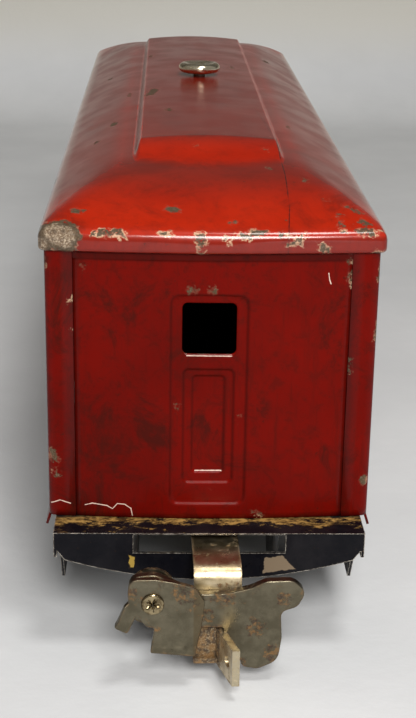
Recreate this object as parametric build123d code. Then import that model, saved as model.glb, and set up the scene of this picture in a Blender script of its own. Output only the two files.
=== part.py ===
from build123d import *
import math
import os

# Model passenger coach for 32 mm gauge track, pressed from thin steel sheet.
# X runs across the coach, Y along it and Z up, in millimetres. The origin lies
# in the track plane, under the middle of the coach, level with the lowest
# points of the wheel flanges. The front end is at -Y, and the rear end is the
# same set of parts turned half round about Z.

# Body shell
BODY_HALF_WIDTH = 30.8
BODY_CORNER_Y = 122.2
END_BOW = 2.0
BODY_CORNER_RADIUS = 1.4
BODY_SHEET = 0.5
BODY_FOOT_Z = 24.9
BODY_TOP_Z = 80.9
STRIP_EDGE_X = 25.6
SEAM_GAP = 0.05
JOGGLE_EDGE_X = 29.2
SKIRT_FOOT_Z = 22.2
SKIRT_FLARE = 0.8
SKIRT_HALF_LENGTH = 120.4
HEADER_Z = 76.2
HEADER_GROOVE = 0.2
FOOT_FLANGE_REACH = 7.0
FOOT_FLANGE_HALF_WIDTH = 22.0

# Doors are nested recesses, each (half width, foot, head, depth of its floor).
END_DOOR_RECESSES = (
    (7.7, 28.9, 69.8, 0.4),
    (5.25, 32.2, 55.6, 0.8),
    (3.5, 34.4, 54.2, 1.2),
)
SIDE_DOOR_RECESSES = (
    (7.2, 28.9, 69.8, 0.4),
    (4.8, 32.2, 55.6, 0.8),
)
DOOR_WINDOW_FOOT_Z = 58.5
DOOR_WINDOW_HEAD_Z = 68.3
END_WINDOW_WIDTH = 10.0
SIDE_DOOR_WINDOW_WIDTH = 9.0
DOOR_WINDOW_RADIUS = 1.0
SIDE_DOOR_Y = 109.5

# Side windows
SIDE_WINDOW_COUNT = 8
SIDE_WINDOW_PITCH = 23.5
SIDE_WINDOW_WIDTH = 15.0
SIDE_WINDOW_FOOT_Z = 45.0
SIDE_WINDOW_HEAD_Z = 65.0
SIDE_WINDOW_RADIUS = 1.5
BELT_RAIL_Z = 41.0
BELT_RAIL_RADIUS = 0.45
BELT_RAIL_HALF_LENGTH = 99.0
GLAZING_SHEET = 0.25
GLAZING_HALF_LENGTH = 96.0
GLAZING_MARGIN = 2.6

# Roof
ROOF_HALF_WIDTH = 31.75
ROOF_CORNER_Y = 123.2
ROOF_CORNER_RADIUS = 2.0
ROOF_SHEET = 0.5
RIM_FOOT_Z = 77.6
RIM_HEAD_Z = 81.5
ROOF_CROWN_Z = 91.0
ROOF_END_SLOPE_RUN = 31.5
ROOF_END_SLOPE_Z = 89.2
ROOF_END_STEEPNESS = 0.46
ROOF_OVERCUT = 1.0
CLERESTORY_HALF_WIDTH = 14.6
CLERESTORY_TOP_HALF_WIDTH = 13.7
CLERESTORY_EDGE_Z = 91.5
CLERESTORY_CROWN_Z = 92.3
CLERESTORY_FOOT_RUN = 31.5
CLERESTORY_FOOT_Z = 88.9
CLERESTORY_TOP_RUN = 38.0
CLERESTORY_CORNER_RADIUS = 2.5

# Roof fastening
STUD_RADIUS = 1.5
STUD_TOP_Z = 94.2
BRIDGE_TOP_Z = 74.8
BRIDGE_SHEET = 0.8
BRIDGE_HALF_WIDTH = 5.0
BRIDGE_EAR_HALF_WIDTH = 3.0
BRIDGE_EAR_FOOT_Z = 68.2
KNOB_RADIUS = 5.25
KNOB_FOOT_Z = 92.45
KNOB_TOP_Z = 95.3
RUNNING_FIT = 0.05

# Floor frame
FRAME_HALF_WIDTH = 29.45
FRAME_HALF_LENGTH = 130.2
FRAME_SHEET = 0.6
DECK_TOP_Z = 24.8
FRAME_FLANGE_FOOT_Z = 19.8
BEAM_CENTRE_FOOT_Z = 15.1
BEAM_CORNER_X = 27.4
SLOT_HALF_WIDTH = 14.4
SLOT_FOOT_Z = 20.7
SLOT_HEAD_Z = 24.5
SCREW_X = 15.0
SCREW_Y = -119.0
SCREW_RADIUS = 1.0

# Steps hung under the corners of the frame
STEP_Y = -111.5
STEP_HEAD_HALF_WIDTH = 11.0
STEP_FOOT_HALF_WIDTH = 6.0
STEP_FOOT_Z = 9.2
STEP_SHOULDER_Z = 17.0
STEP_SHEET = 0.6
STEP_HOLE_RADIUS = 1.6

# Trucks
TRUCK_Y = -74.0
HALF_WHEELBASE = 20.0
AXLE_Z = 11.0
AXLE_RADIUS = 1.2
AXLE_HALF_LENGTH = 22.6
FLANGE_RADIUS = 11.0
TREAD_RADIUS = 9.5
WHEEL_INNER_X = 14.0
TREAD_INNER_X = 15.3
WHEEL_OUTER_X = 19.2
BOLSTER_TOP_Z = 20.9
BOLSTER_HALF_WIDTH = 6.0
BOLSTER_SHEET = 0.8
SIDE_FRAME_X = 21.0
SIDE_FRAME_SHEET = 0.8
JOURNAL_OUTER_X = 23.5
JOURNAL_DEPTH = 1.8
KINGPIN_RADIUS = 2.0
KINGPIN_HEAD_RADIUS = 4.0

# Couplers; X is measured from the shank's centre line before it is swung
COUPLER_REST_SWING = 1.13
SHANK_HALF_WIDTH = 4.4
SHANK_TOP_Z = 22.6
SHANK_SHEET = 1.2
SHANK_BEND_RADIUS = 3.0
HEAD_BACK_Y = -140.4
HEAD_SHEET = 1.8
STOP_EDGE_X = 0.8
STOP_FOOT_Z = 3.6
TONGUE_TIP_Y = -149.0
LATCH_RIVET_X = -12.0
LATCH_RIVET_Z = 17.4
LATCH_RIVET_RADIUS = 1.5
LATCH_RIVET_HEAD_RADIUS = 2.1
LATCH_GAP = 0.3
LATCH_SHEET = 1.2
LOBE_RADIUS = 4.6
SPRING_RADIUS = 4.0
SPRING_WIRE = 0.7
SPRING_LENGTH = 2.0


# Small makers shared by all the parts

def block(x_limits, y_limits, z_limits):
    """Box between a low and a high limit on each axis."""
    limits = (x_limits, y_limits, z_limits)
    sizes = [high - low for low, high in limits]
    centre = [(high + low) / 2 for low, high in limits]
    return Pos(*centre) * Box(*sizes)


def extrude_x(face, x_low, x_high):
    """Solid from a face drawn as (Y, Z), between two X positions."""
    return Pos(x_low, 0, 0) * extrude(Plane.YZ * face, amount=x_high - x_low)


def extrude_y(face, y_low, y_high):
    """Solid from a face drawn as (X, Z), between two Y positions."""
    return Pos(0, y_high, 0) * extrude(Plane.XZ * face, amount=y_high - y_low)


def extrude_z(face, z_low, z_high):
    """Solid from a face drawn as (X, Y), between two heights."""
    return Pos(0, 0, z_low) * extrude(face, amount=z_high - z_low)


def pin_x(radius, x_low, x_high, y, z):
    return Pos((x_low + x_high) / 2, y, z) * Rot(0, 90, 0) * Cylinder(radius, x_high - x_low)


def pin_y(radius, y_low, y_high, x, z):
    return Pos(x, (y_low + y_high) / 2, z) * Rot(90, 0, 0) * Cylinder(radius, y_high - y_low)


def pin_z(radius, z_low, z_high, x, y):
    return Pos(x, y, (z_low + z_high) / 2) * Cylinder(radius, z_high - z_low)


def half_turn(part):
    """The same part at the other end, or on the other side."""
    return Rot(0, 0, 180) * part


def polygon(*points):
    return make_face(Polyline(*points, close=True))


def bowed_plan(half_width, corner_y, corner_radius):
    """Plan outline with straight sides and both ends bowed outwards."""
    edges = []
    for end in (-1, 1):
        left = (-half_width, end * corner_y)
        crown = (0, end * (corner_y + END_BOW))
        right = (half_width, end * corner_y)
        edges.append(ThreePointArc(left, crown, right))
    for side in (-1, 1):
        edges.append(Line((side * half_width, -corner_y), (side * half_width, corner_y)))
    outline = make_face(edges)
    return fillet(outline.vertices(), corner_radius)


# Body shell

def body_plan(inset):
    """Body outline, moved inwards from the outer face of the sheet."""
    corner_radius = max(BODY_CORNER_RADIUS - inset, 0.3)
    return bowed_plan(BODY_HALF_WIDTH - inset, BODY_CORNER_Y - inset, corner_radius)


def end_slab(x_limits, z_limits, depth_limits):
    """Part of the bowed front end between two depths behind its outer face."""
    outer_depth, inner_depth = depth_limits
    ring = body_plan(outer_depth) - body_plan(inner_depth)
    width = x_limits[1] - x_limits[0]
    centre_x = (x_limits[0] + x_limits[1]) / 2
    window = Pos(centre_x, -BODY_CORNER_Y) * Rectangle(width, 30)
    return extrude_z(ring & window, *z_limits)


def window_cutter(width, foot_z, head_z, radius):
    """Rounded window outline, drawn about the middle of the window."""
    middle_z = (foot_z + head_z) / 2
    return Pos(0, middle_z) * RectangleRounded(width, head_z - foot_z, radius)


def end_panel():
    """Bowed end sheet with a pressed door, joggled edges and a foot flange."""
    heights = (BODY_FOOT_Z, BODY_TOP_Z)
    edge_x = STRIP_EDGE_X - SEAM_GAP
    panel = end_slab((-edge_x, edge_x), heights, (0, BODY_SHEET))
    for side in (-1, 1):
        step_x = sorted((side * (edge_x - BODY_SHEET), side * edge_x))
        tab_x = sorted((side * (edge_x - BODY_SHEET), side * JOGGLE_EDGE_X))
        panel += end_slab(step_x, heights, (BODY_SHEET / 2, 2 * BODY_SHEET))
        panel += end_slab(tab_x, heights, (BODY_SHEET + SEAM_GAP, 2 * BODY_SHEET + SEAM_GAP))
    for half_width, foot_z, head_z, depth in END_DOOR_RECESSES:
        pad_x = half_width + BODY_SHEET
        pad_z = (foot_z - BODY_SHEET, head_z + BODY_SHEET)
        panel += end_slab((-pad_x, pad_x), pad_z, (BODY_SHEET / 2, depth + BODY_SHEET))
    for half_width, foot_z, head_z, depth in END_DOOR_RECESSES:
        panel -= end_slab((-half_width, half_width), (foot_z, head_z), (-1, depth))
    window = window_cutter(END_WINDOW_WIDTH, DOOR_WINDOW_FOOT_Z, DOOR_WINDOW_HEAD_Z, DOOR_WINDOW_RADIUS)
    panel -= extrude_y(window, -BODY_CORNER_Y - 5, -BODY_CORNER_Y + 5)
    header_groove = (HEADER_Z - HEADER_GROOVE, HEADER_Z)
    panel -= end_slab((-edge_x, edge_x), header_groove, (-1, HEADER_GROOVE))
    flange_x = (-FOOT_FLANGE_HALF_WIDTH, FOOT_FLANGE_HALF_WIDTH)
    flange_z = (BODY_FOOT_Z, BODY_FOOT_Z + BODY_SHEET)
    panel += end_slab(flange_x, flange_z, (BODY_SHEET / 2, FOOT_FLANGE_REACH))
    for side in (-1, 1):
        hole_x = side * SCREW_X
        panel -= pin_z(SCREW_RADIUS + RUNNING_FIT, BODY_FOOT_Z - 1, BODY_FOOT_Z + 1, hole_x, SCREW_Y)
    return panel


def wall_block(y_limits, z_limits, depth_limits):
    """Box in the right-hand wall between two depths behind its outer face."""
    x_limits = (BODY_HALF_WIDTH - depth_limits[1], BODY_HALF_WIDTH - depth_limits[0])
    return block(x_limits, y_limits, z_limits)


def wall_window(y, width, foot_z, head_z, radius):
    """Cutter for a window through the right-hand wall."""
    outline = Pos(y, 0) * window_cutter(width, foot_z, head_z, radius)
    return extrude_x(outline, BODY_HALF_WIDTH - 4, BODY_HALF_WIDTH + 4)


def side_window_places():
    middle = (SIDE_WINDOW_COUNT - 1) / 2
    return [(index - middle) * SIDE_WINDOW_PITCH for index in range(SIDE_WINDOW_COUNT)]


def side_sheet():
    """Right-hand wall with corner strips, end doors, windows and a flared skirt."""
    ring = body_plan(0) - body_plan(BODY_SHEET)
    right_half = Pos(STRIP_EDGE_X + 10, 0) * Rectangle(20, 2 * BODY_CORNER_Y + 20)
    sheet = extrude_z(ring & right_half, BODY_FOOT_Z, BODY_TOP_Z)
    skirt = polygon(
        (BODY_HALF_WIDTH - BODY_SHEET, BODY_FOOT_Z),
        (BODY_HALF_WIDTH, BODY_FOOT_Z),
        (BODY_HALF_WIDTH + SKIRT_FLARE, SKIRT_FOOT_Z),
        (BODY_HALF_WIDTH + SKIRT_FLARE - BODY_SHEET, SKIRT_FOOT_Z),
    )
    sheet += extrude_y(skirt, -SKIRT_HALF_LENGTH, SKIRT_HALF_LENGTH)
    for door_y in (-SIDE_DOOR_Y, SIDE_DOOR_Y):
        for half_width, foot_z, head_z, depth in SIDE_DOOR_RECESSES:
            pad_y = (door_y - half_width - BODY_SHEET, door_y + half_width + BODY_SHEET)
            pad_z = (foot_z - BODY_SHEET, head_z + BODY_SHEET)
            sheet += wall_block(pad_y, pad_z, (BODY_SHEET / 2, depth + BODY_SHEET))
        for half_width, foot_z, head_z, depth in SIDE_DOOR_RECESSES:
            recess_y = (door_y - half_width, door_y + half_width)
            sheet -= wall_block(recess_y, (foot_z, head_z), (-1, depth))
        sheet -= wall_window(door_y, SIDE_DOOR_WINDOW_WIDTH, DOOR_WINDOW_FOOT_Z,
                             DOOR_WINDOW_HEAD_Z, DOOR_WINDOW_RADIUS)
    for window_y in side_window_places():
        sheet -= wall_window(window_y, SIDE_WINDOW_WIDTH, SIDE_WINDOW_FOOT_Z,
                             SIDE_WINDOW_HEAD_Z, SIDE_WINDOW_RADIUS)
    rail = pin_y(BELT_RAIL_RADIUS, -BELT_RAIL_HALF_LENGTH, BELT_RAIL_HALF_LENGTH,
                 BODY_HALF_WIDTH, BELT_RAIL_Z)
    return sheet + rail


def glazing_strip():
    """Clear strip behind the right-hand windows."""
    wall_inner_x = BODY_HALF_WIDTH - BODY_SHEET
    x_limits = (wall_inner_x - SEAM_GAP - GLAZING_SHEET, wall_inner_x - SEAM_GAP)
    z_limits = (SIDE_WINDOW_FOOT_Z - GLAZING_MARGIN, SIDE_WINDOW_HEAD_Z + GLAZING_MARGIN)
    return block(x_limits, (-GLAZING_HALF_LENGTH, GLAZING_HALF_LENGTH), z_limits)


# Roof

def arch_height(x, half_span, spring_z, crown_z):
    """Height at x of the circular arch over a span, also outside the span."""
    rise = crown_z - spring_z
    radius = (half_span ** 2 + rise ** 2) / (2 * rise)
    return crown_z - radius + math.sqrt(radius ** 2 - x ** 2)


def main_roof_block(inset):
    """Arched roof with sloped ends, as a solid below the sheet's face."""
    half_width = ROOF_HALF_WIDTH - inset
    corner_y = ROOF_CORNER_Y - inset
    end_y = corner_y + END_BOW
    foot_z = RIM_FOOT_Z - inset
    rim_z = RIM_HEAD_Z - inset
    crown_z = ROOF_CROWN_Z - inset
    over_z = crown_z + 2
    wide_x = half_width + ROOF_OVERCUT
    wide_z = arch_height(wide_x, half_width, rim_z, crown_z)
    section = make_face([
        Polyline((-wide_x, wide_z), (-wide_x, foot_z), (wide_x, foot_z), (wide_x, wide_z)),
        ThreePointArc((wide_x, wide_z), (0, crown_z), (-wide_x, wide_z)),
    ])
    long_y = end_y + ROOF_OVERCUT
    long_z = rim_z - ROOF_END_STEEPNESS * ROOF_OVERCUT
    slope_y = end_y - ROOF_END_SLOPE_RUN
    slope_z = ROOF_END_SLOPE_Z - inset
    middle_y = end_y - ROOF_END_SLOPE_RUN * 0.45
    middle_z = rim_z + (slope_z - rim_z) * 0.64
    profile = make_face([
        Polyline((-long_y, long_z), (-long_y, foot_z), (long_y, foot_z), (long_y, long_z)),
        ThreePointArc((long_y, long_z), (middle_y, middle_z), (slope_y, slope_z)),
        Polyline((slope_y, slope_z), (slope_y - 12, over_z), (12 - slope_y, over_z), (-slope_y, slope_z)),
        ThreePointArc((-slope_y, slope_z), (-middle_y, middle_z), (-long_y, long_z)),
    ])
    plan = bowed_plan(half_width, corner_y, ROOF_CORNER_RADIUS - inset)
    solid = extrude_y(section, -long_y, long_y)
    solid &= extrude_x(profile, -wide_x, wide_x)
    return solid & extrude_z(plan, foot_z, over_z)


def clerestory_block(inset):
    """Raised middle deck with sloped ends, as a solid below the sheet's face."""
    end_y = ROOF_CORNER_Y + END_BOW
    base_z = RIM_HEAD_Z
    top_half = CLERESTORY_TOP_HALF_WIDTH - inset
    edge_z = CLERESTORY_EDGE_Z - inset
    crown_z = CLERESTORY_CROWN_Z - inset
    section = make_face([
        Polyline((-top_half, edge_z), (-CLERESTORY_HALF_WIDTH + inset, base_z),
                 (CLERESTORY_HALF_WIDTH - inset, base_z), (top_half, edge_z)),
        ThreePointArc((top_half, edge_z), (0, crown_z), (-top_half, edge_z)),
    ])
    rise = (CLERESTORY_EDGE_Z - CLERESTORY_FOOT_Z) / (CLERESTORY_TOP_RUN - CLERESTORY_FOOT_RUN)
    foot_y = end_y - CLERESTORY_FOOT_RUN - inset

    def slope_at(z):
        return foot_y - (z + inset - CLERESTORY_FOOT_Z) / rise

    low_y = slope_at(base_z)
    over_z = crown_z + 1
    high_y = slope_at(over_z)
    profile = polygon((-low_y, base_z), (low_y, base_z), (high_y, over_z), (-high_y, over_z))
    solid = extrude_y(section, -low_y, low_y) & extrude_x(profile, -30, 30)
    plan = RectangleRounded(2 * CLERESTORY_HALF_WIDTH - 2 * inset, 2 * foot_y,
                            CLERESTORY_CORNER_RADIUS)
    return solid & extrude_z(plan, base_z, over_z)


def roof_shell():
    """Pressed roof: arched deck, rim and clerestory, open underneath."""
    outer = main_roof_block(0) + clerestory_block(0)
    inner = main_roof_block(ROOF_SHEET) + clerestory_block(ROOF_SHEET)
    shell = outer - inner
    return shell - pin_z(STUD_RADIUS + 0.4, RIM_HEAD_Z, ROOF_CROWN_Z + 4, 0, 0)


def roof_bridge():
    """Strap across the top of the body that holds the roof stud."""
    wall_inner_x = BODY_HALF_WIDTH - BODY_SHEET - SEAM_GAP
    strap = block((-wall_inner_x, wall_inner_x), (-BRIDGE_HALF_WIDTH, BRIDGE_HALF_WIDTH),
                  (BRIDGE_TOP_Z - BRIDGE_SHEET, BRIDGE_TOP_Z))
    for side in (-1, 1):
        ear_x = sorted((side * (wall_inner_x - BRIDGE_SHEET), side * wall_inner_x))
        strap += block(ear_x, (-BRIDGE_EAR_HALF_WIDTH, BRIDGE_EAR_HALF_WIDTH),
                       (BRIDGE_EAR_FOOT_Z, BRIDGE_TOP_Z))
    return strap - pin_z(STUD_RADIUS + RUNNING_FIT, BRIDGE_TOP_Z - 2, BRIDGE_TOP_Z + 1, 0, 0)


def roof_stud():
    """Upright screw, hung by its hexagon head from the bridge."""
    bridge_foot_z = BRIDGE_TOP_Z - BRIDGE_SHEET
    head = extrude_z(RegularPolygon(3.2, 6), bridge_foot_z - 2, bridge_foot_z)
    return head + pin_z(STUD_RADIUS, bridge_foot_z, STUD_TOP_Z, 0, 0)


def roof_knob():
    """Low round thumb nut with a rounded rim and a dished top."""
    mid_z = (KNOB_FOOT_Z + KNOB_TOP_Z) / 2
    bore = STUD_RADIUS + RUNNING_FIT
    profile = make_face([
        Polyline((bore, KNOB_FOOT_Z), (KNOB_RADIUS - 1.2, KNOB_FOOT_Z)),
        ThreePointArc((KNOB_RADIUS - 1.2, KNOB_FOOT_Z), (KNOB_RADIUS, mid_z), (KNOB_RADIUS - 1.0, KNOB_TOP_Z)),
        ThreePointArc((KNOB_RADIUS - 1.0, KNOB_TOP_Z), (2.4, KNOB_TOP_Z - 0.45), (bore, KNOB_TOP_Z - 0.6)),
        Line((bore, KNOB_TOP_Z - 0.6), (bore, KNOB_FOOT_Z)),
    ])
    return revolve(Plane.XZ * profile, axis=Axis.Z)


# Floor frame

def floor_frame():
    """Pressed deck with side flanges and a slotted, curved beam at each end."""
    deck_foot_z = DECK_TOP_Z - FRAME_SHEET
    frame = block((-FRAME_HALF_WIDTH, FRAME_HALF_WIDTH), (-FRAME_HALF_LENGTH, FRAME_HALF_LENGTH),
                  (deck_foot_z, DECK_TOP_Z))
    flange_inner_x = FRAME_HALF_WIDTH - FRAME_SHEET
    for side in (-1, 1):
        flange_x = sorted((side * flange_inner_x, side * FRAME_HALF_WIDTH))
        frame += block(flange_x, (-FRAME_HALF_LENGTH, FRAME_HALF_LENGTH), (FRAME_FLANGE_FOOT_Z, DECK_TOP_Z))
    corner_z = FRAME_FLANGE_FOOT_Z - 0.6
    beam_face = make_face([
        Polyline((-BEAM_CORNER_X, corner_z), (-flange_inner_x, corner_z + 2),
                 (-flange_inner_x, DECK_TOP_Z), (flange_inner_x, DECK_TOP_Z),
                 (flange_inner_x, corner_z + 2), (BEAM_CORNER_X, corner_z)),
        ThreePointArc((BEAM_CORNER_X, corner_z), (0, BEAM_CENTRE_FOOT_Z), (-BEAM_CORNER_X, corner_z)),
    ])
    beam = extrude_y(beam_face, -FRAME_HALF_LENGTH, FRAME_SHEET - FRAME_HALF_LENGTH)
    beam_slot = block((-SLOT_HALF_WIDTH, SLOT_HALF_WIDTH),
                      (-FRAME_HALF_LENGTH - 1, FRAME_SHEET - FRAME_HALF_LENGTH), (SLOT_FOOT_Z, SLOT_HEAD_Z))
    for turn in (0, 180):
        frame += Rot(0, 0, turn) * beam
    for turn in (0, 180):
        frame -= Rot(0, 0, turn) * beam_slot
        frame -= Rot(0, 0, turn) * pin_z(KINGPIN_RADIUS + RUNNING_FIT, 20, 30, 0, TRUCK_Y)
        for side in (-1, 1):
            hole = pin_z(SCREW_RADIUS + RUNNING_FIT, 20, 30, side * SCREW_X, SCREW_Y)
            frame -= Rot(0, 0, turn) * hole
    return frame


def end_screws():
    """Two round-head screws that hold the end panel's foot to the deck."""
    deck_foot_z = DECK_TOP_Z - FRAME_SHEET
    screws = []
    for side in (-1, 1):
        x = side * SCREW_X
        screw = pin_z(2 * SCREW_RADIUS, deck_foot_z - 1, deck_foot_z, x, SCREW_Y)
        screw += pin_z(SCREW_RADIUS, deck_foot_z, BODY_FOOT_Z + 1.5, x, SCREW_Y)
        screws.append(screw)
    return Compound(children=[solid for screw in screws for solid in screw.solids()])


def step_plate(side):
    """Hanging step under a front corner door, tapered towards its foot."""
    outer_x = FRAME_HALF_WIDTH - FRAME_SHEET
    deck_foot_z = DECK_TOP_Z - FRAME_SHEET
    step = extrude_x(polygon(
        (STEP_Y - STEP_HEAD_HALF_WIDTH, deck_foot_z), (STEP_Y - STEP_HEAD_HALF_WIDTH, STEP_SHOULDER_Z),
        (STEP_Y - STEP_FOOT_HALF_WIDTH, STEP_FOOT_Z), (STEP_Y + STEP_FOOT_HALF_WIDTH, STEP_FOOT_Z),
        (STEP_Y + STEP_HEAD_HALF_WIDTH, STEP_SHOULDER_Z), (STEP_Y + STEP_HEAD_HALF_WIDTH, deck_foot_z),
    ), outer_x - STEP_SHEET, outer_x)
    hole_z = (STEP_FOOT_Z + STEP_SHOULDER_Z) / 2
    for spread in (-1, 1):
        step -= pin_x(STEP_HOLE_RADIUS, outer_x - 2, outer_x + 1, STEP_Y + spread * 3.5, hole_z)
    if side < 0:
        return mirror(step, about=Plane.YZ)
    return step


# Trucks; each is built about the front truck's centre

def truck_bolster():
    """Flat cross plate with down-turned ends that carry the side frames."""
    ear_inner_x = SIDE_FRAME_X - BOLSTER_SHEET
    plate = block((-SIDE_FRAME_X, SIDE_FRAME_X), (TRUCK_Y - BOLSTER_HALF_WIDTH, TRUCK_Y + BOLSTER_HALF_WIDTH),
                  (BOLSTER_TOP_Z - BOLSTER_SHEET, BOLSTER_TOP_Z))
    for side in (-1, 1):
        ear_x = sorted((side * ear_inner_x, side * SIDE_FRAME_X))
        plate += block(ear_x, (TRUCK_Y - BOLSTER_HALF_WIDTH, TRUCK_Y + BOLSTER_HALF_WIDTH),
                       (AXLE_Z + 1, BOLSTER_TOP_Z))
    return plate - pin_z(KINGPIN_RADIUS + RUNNING_FIT, 10, 30, 0, TRUCK_Y)


def truck_side_frame():
    """Right-hand pressed side frame with a blind journal box at each axle."""
    outline = polygon(
        (TRUCK_Y - 26.5, 8.0), (TRUCK_Y - 26.5, 14.5), (TRUCK_Y - 15, 19.0),
        (TRUCK_Y + 15, 19.0), (TRUCK_Y + 26.5, 14.5), (TRUCK_Y + 26.5, 8.0),
        (TRUCK_Y + 14, 8.0), (TRUCK_Y + 9, 5.0), (TRUCK_Y - 9, 5.0), (TRUCK_Y - 14, 8.0),
    )
    frame = extrude_x(outline, SIDE_FRAME_X, SIDE_FRAME_X + SIDE_FRAME_SHEET)
    for spread in (-1, 1):
        light = polygon(
            (TRUCK_Y + spread * 3, 10.0), (TRUCK_Y + spread * 3, 16.0),
            (TRUCK_Y + spread * 13, 16.0), (TRUCK_Y + spread * 13, 12.5), (TRUCK_Y + spread * 9, 10.0),
        )
        frame -= extrude_x(light, SIDE_FRAME_X - 1, SIDE_FRAME_X + 2)
    for spread in (-1, 1):
        axle_y = TRUCK_Y + spread * HALF_WHEELBASE
        journal = block((SIDE_FRAME_X, JOURNAL_OUTER_X), (axle_y - 3, axle_y + 3), (AXLE_Z - 3, AXLE_Z + 3.6))
        frame += journal
        frame -= pin_x(AXLE_RADIUS + RUNNING_FIT, SIDE_FRAME_X - 1, SIDE_FRAME_X + JOURNAL_DEPTH, axle_y, AXLE_Z)
    return frame


def wheel_at(side, y):
    """Flanged wheel with a dished outer face."""
    bore = AXLE_RADIUS + 0.02
    flange_mid_x = (WHEEL_INNER_X + TREAD_INNER_X) / 2
    profile = make_face([
        Polyline((12.8, bore), (12.8, 3.0), (WHEEL_INNER_X, 3.4), (WHEEL_INNER_X, FLANGE_RADIUS - 0.5)),
        ThreePointArc((WHEEL_INNER_X, FLANGE_RADIUS - 0.5), (flange_mid_x, FLANGE_RADIUS),
                      (TREAD_INNER_X, FLANGE_RADIUS - 0.7)),
        Polyline((TREAD_INNER_X, FLANGE_RADIUS - 0.7), (TREAD_INNER_X, TREAD_RADIUS), (WHEEL_OUTER_X, TREAD_RADIUS - 0.2),
                 (WHEEL_OUTER_X, 8.6), (16.2, 8.3), (15.4, 3.4), (18.4, 3.0), (18.4, bore), (12.8, bore)),
    ])
    wheel = revolve(profile, axis=Axis.X)
    turn = 0 if side > 0 else 180
    return Pos(0, y, AXLE_Z) * Rot(0, 0, turn) * wheel


def axle_at(y):
    return pin_x(AXLE_RADIUS, -AXLE_HALF_LENGTH, AXLE_HALF_LENGTH, y, AXLE_Z)


def kingpin():
    """Headed pin through the deck, coupler shank and bolster."""
    pin = pin_z(KINGPIN_RADIUS, 18.4, DECK_TOP_Z, 0, TRUCK_Y)
    return pin + pin_z(KINGPIN_HEAD_RADIUS, DECK_TOP_Z, DECK_TOP_Z + 0.9, 0, TRUCK_Y)


def kingpin_washers():
    """Spacer above the shank and thrust washer between shank and bolster."""
    gaps = (
        (SHANK_TOP_Z + 0.1, DECK_TOP_Z - FRAME_SHEET),
        (BOLSTER_TOP_Z + 0.05, SHANK_TOP_Z - SHANK_SHEET - 0.05),
    )
    washers = []
    for z_low, z_high in gaps:
        ring = pin_z(KINGPIN_HEAD_RADIUS, z_low, z_high, 0, TRUCK_Y)
        ring -= pin_z(KINGPIN_RADIUS + 0.02, z_low - 1, z_high + 1, 0, TRUCK_Y)
        washers.append(ring)
    return Compound(children=[solid for washer in washers for solid in washer.solids()])


def kingpin_clip():
    """Retaining ring under the bolster."""
    clip_top = BOLSTER_TOP_Z - BOLSTER_SHEET - 0.1
    ring = pin_z(KINGPIN_RADIUS + 1.6, clip_top - 0.7, clip_top, 0, TRUCK_Y)
    return ring - pin_z(KINGPIN_RADIUS + 0.02, clip_top - 2, clip_top + 1, 0, TRUCK_Y)


# Couplers

def swing(part):
    """Turn a front coupler part about the kingpin to where it rests."""
    return Pos(0, TRUCK_Y, 0) * Rot(0, 0, COUPLER_REST_SWING) * Pos(0, -TRUCK_Y, 0) * part


def coupler_shank():
    """Strip from the kingpin, bent down behind the head, with stop and tongue."""
    under_z = SHANK_TOP_Z - SHANK_SHEET
    back_y = HEAD_BACK_Y + SHANK_SHEET
    bend_y = HEAD_BACK_Y + SHANK_BEND_RADIUS
    bend_z = SHANK_TOP_Z - SHANK_BEND_RADIUS
    inner_radius = SHANK_BEND_RADIUS - SHANK_SHEET
    diagonal = math.sqrt(0.5)
    foot_z = 12.0
    section = make_face([
        Line((TRUCK_Y, SHANK_TOP_Z), (bend_y, SHANK_TOP_Z)),
        ThreePointArc((bend_y, SHANK_TOP_Z),
                      (bend_y - SHANK_BEND_RADIUS * diagonal, bend_z + SHANK_BEND_RADIUS * diagonal),
                      (HEAD_BACK_Y, bend_z)),
        Polyline((HEAD_BACK_Y, bend_z), (HEAD_BACK_Y, foot_z), (back_y, foot_z), (back_y, bend_z)),
        ThreePointArc((back_y, bend_z),
                      (bend_y - inner_radius * diagonal, bend_z + inner_radius * diagonal),
                      (bend_y, under_z)),
        Polyline((bend_y, under_z), (TRUCK_Y, under_z), (TRUCK_Y, SHANK_TOP_Z)),
    ])
    shank = extrude_x(section, -SHANK_HALF_WIDTH, SHANK_HALF_WIDTH)
    shank += pin_z(SHANK_HALF_WIDTH + 0.6, under_z, SHANK_TOP_Z, 0, TRUCK_Y)
    shank -= pin_z(KINGPIN_RADIUS + RUNNING_FIT, 10, 30, 0, TRUCK_Y)
    shank += block((-SHANK_HALF_WIDTH, STOP_EDGE_X), (HEAD_BACK_Y, back_y), (STOP_FOOT_Z, foot_z))
    shank += block((-SHANK_HALF_WIDTH, STOP_EDGE_X), (HEAD_BACK_Y - 1, back_y), (STOP_FOOT_Z, STOP_FOOT_Z + 1))
    tongue = extrude_z(polygon(
        (STOP_EDGE_X - 1.4, back_y), (STOP_EDGE_X, back_y),
        (STOP_EDGE_X + 2.9, TONGUE_TIP_Y), (STOP_EDGE_X + 1.5, TONGUE_TIP_Y),
    ), STOP_FOOT_Z - 0.3, 10.6)
    catch = pin_x(1.1, -2, 6, TONGUE_TIP_Y + 2.6, 7.0)
    return swing(shank + (tongue - catch))


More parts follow.
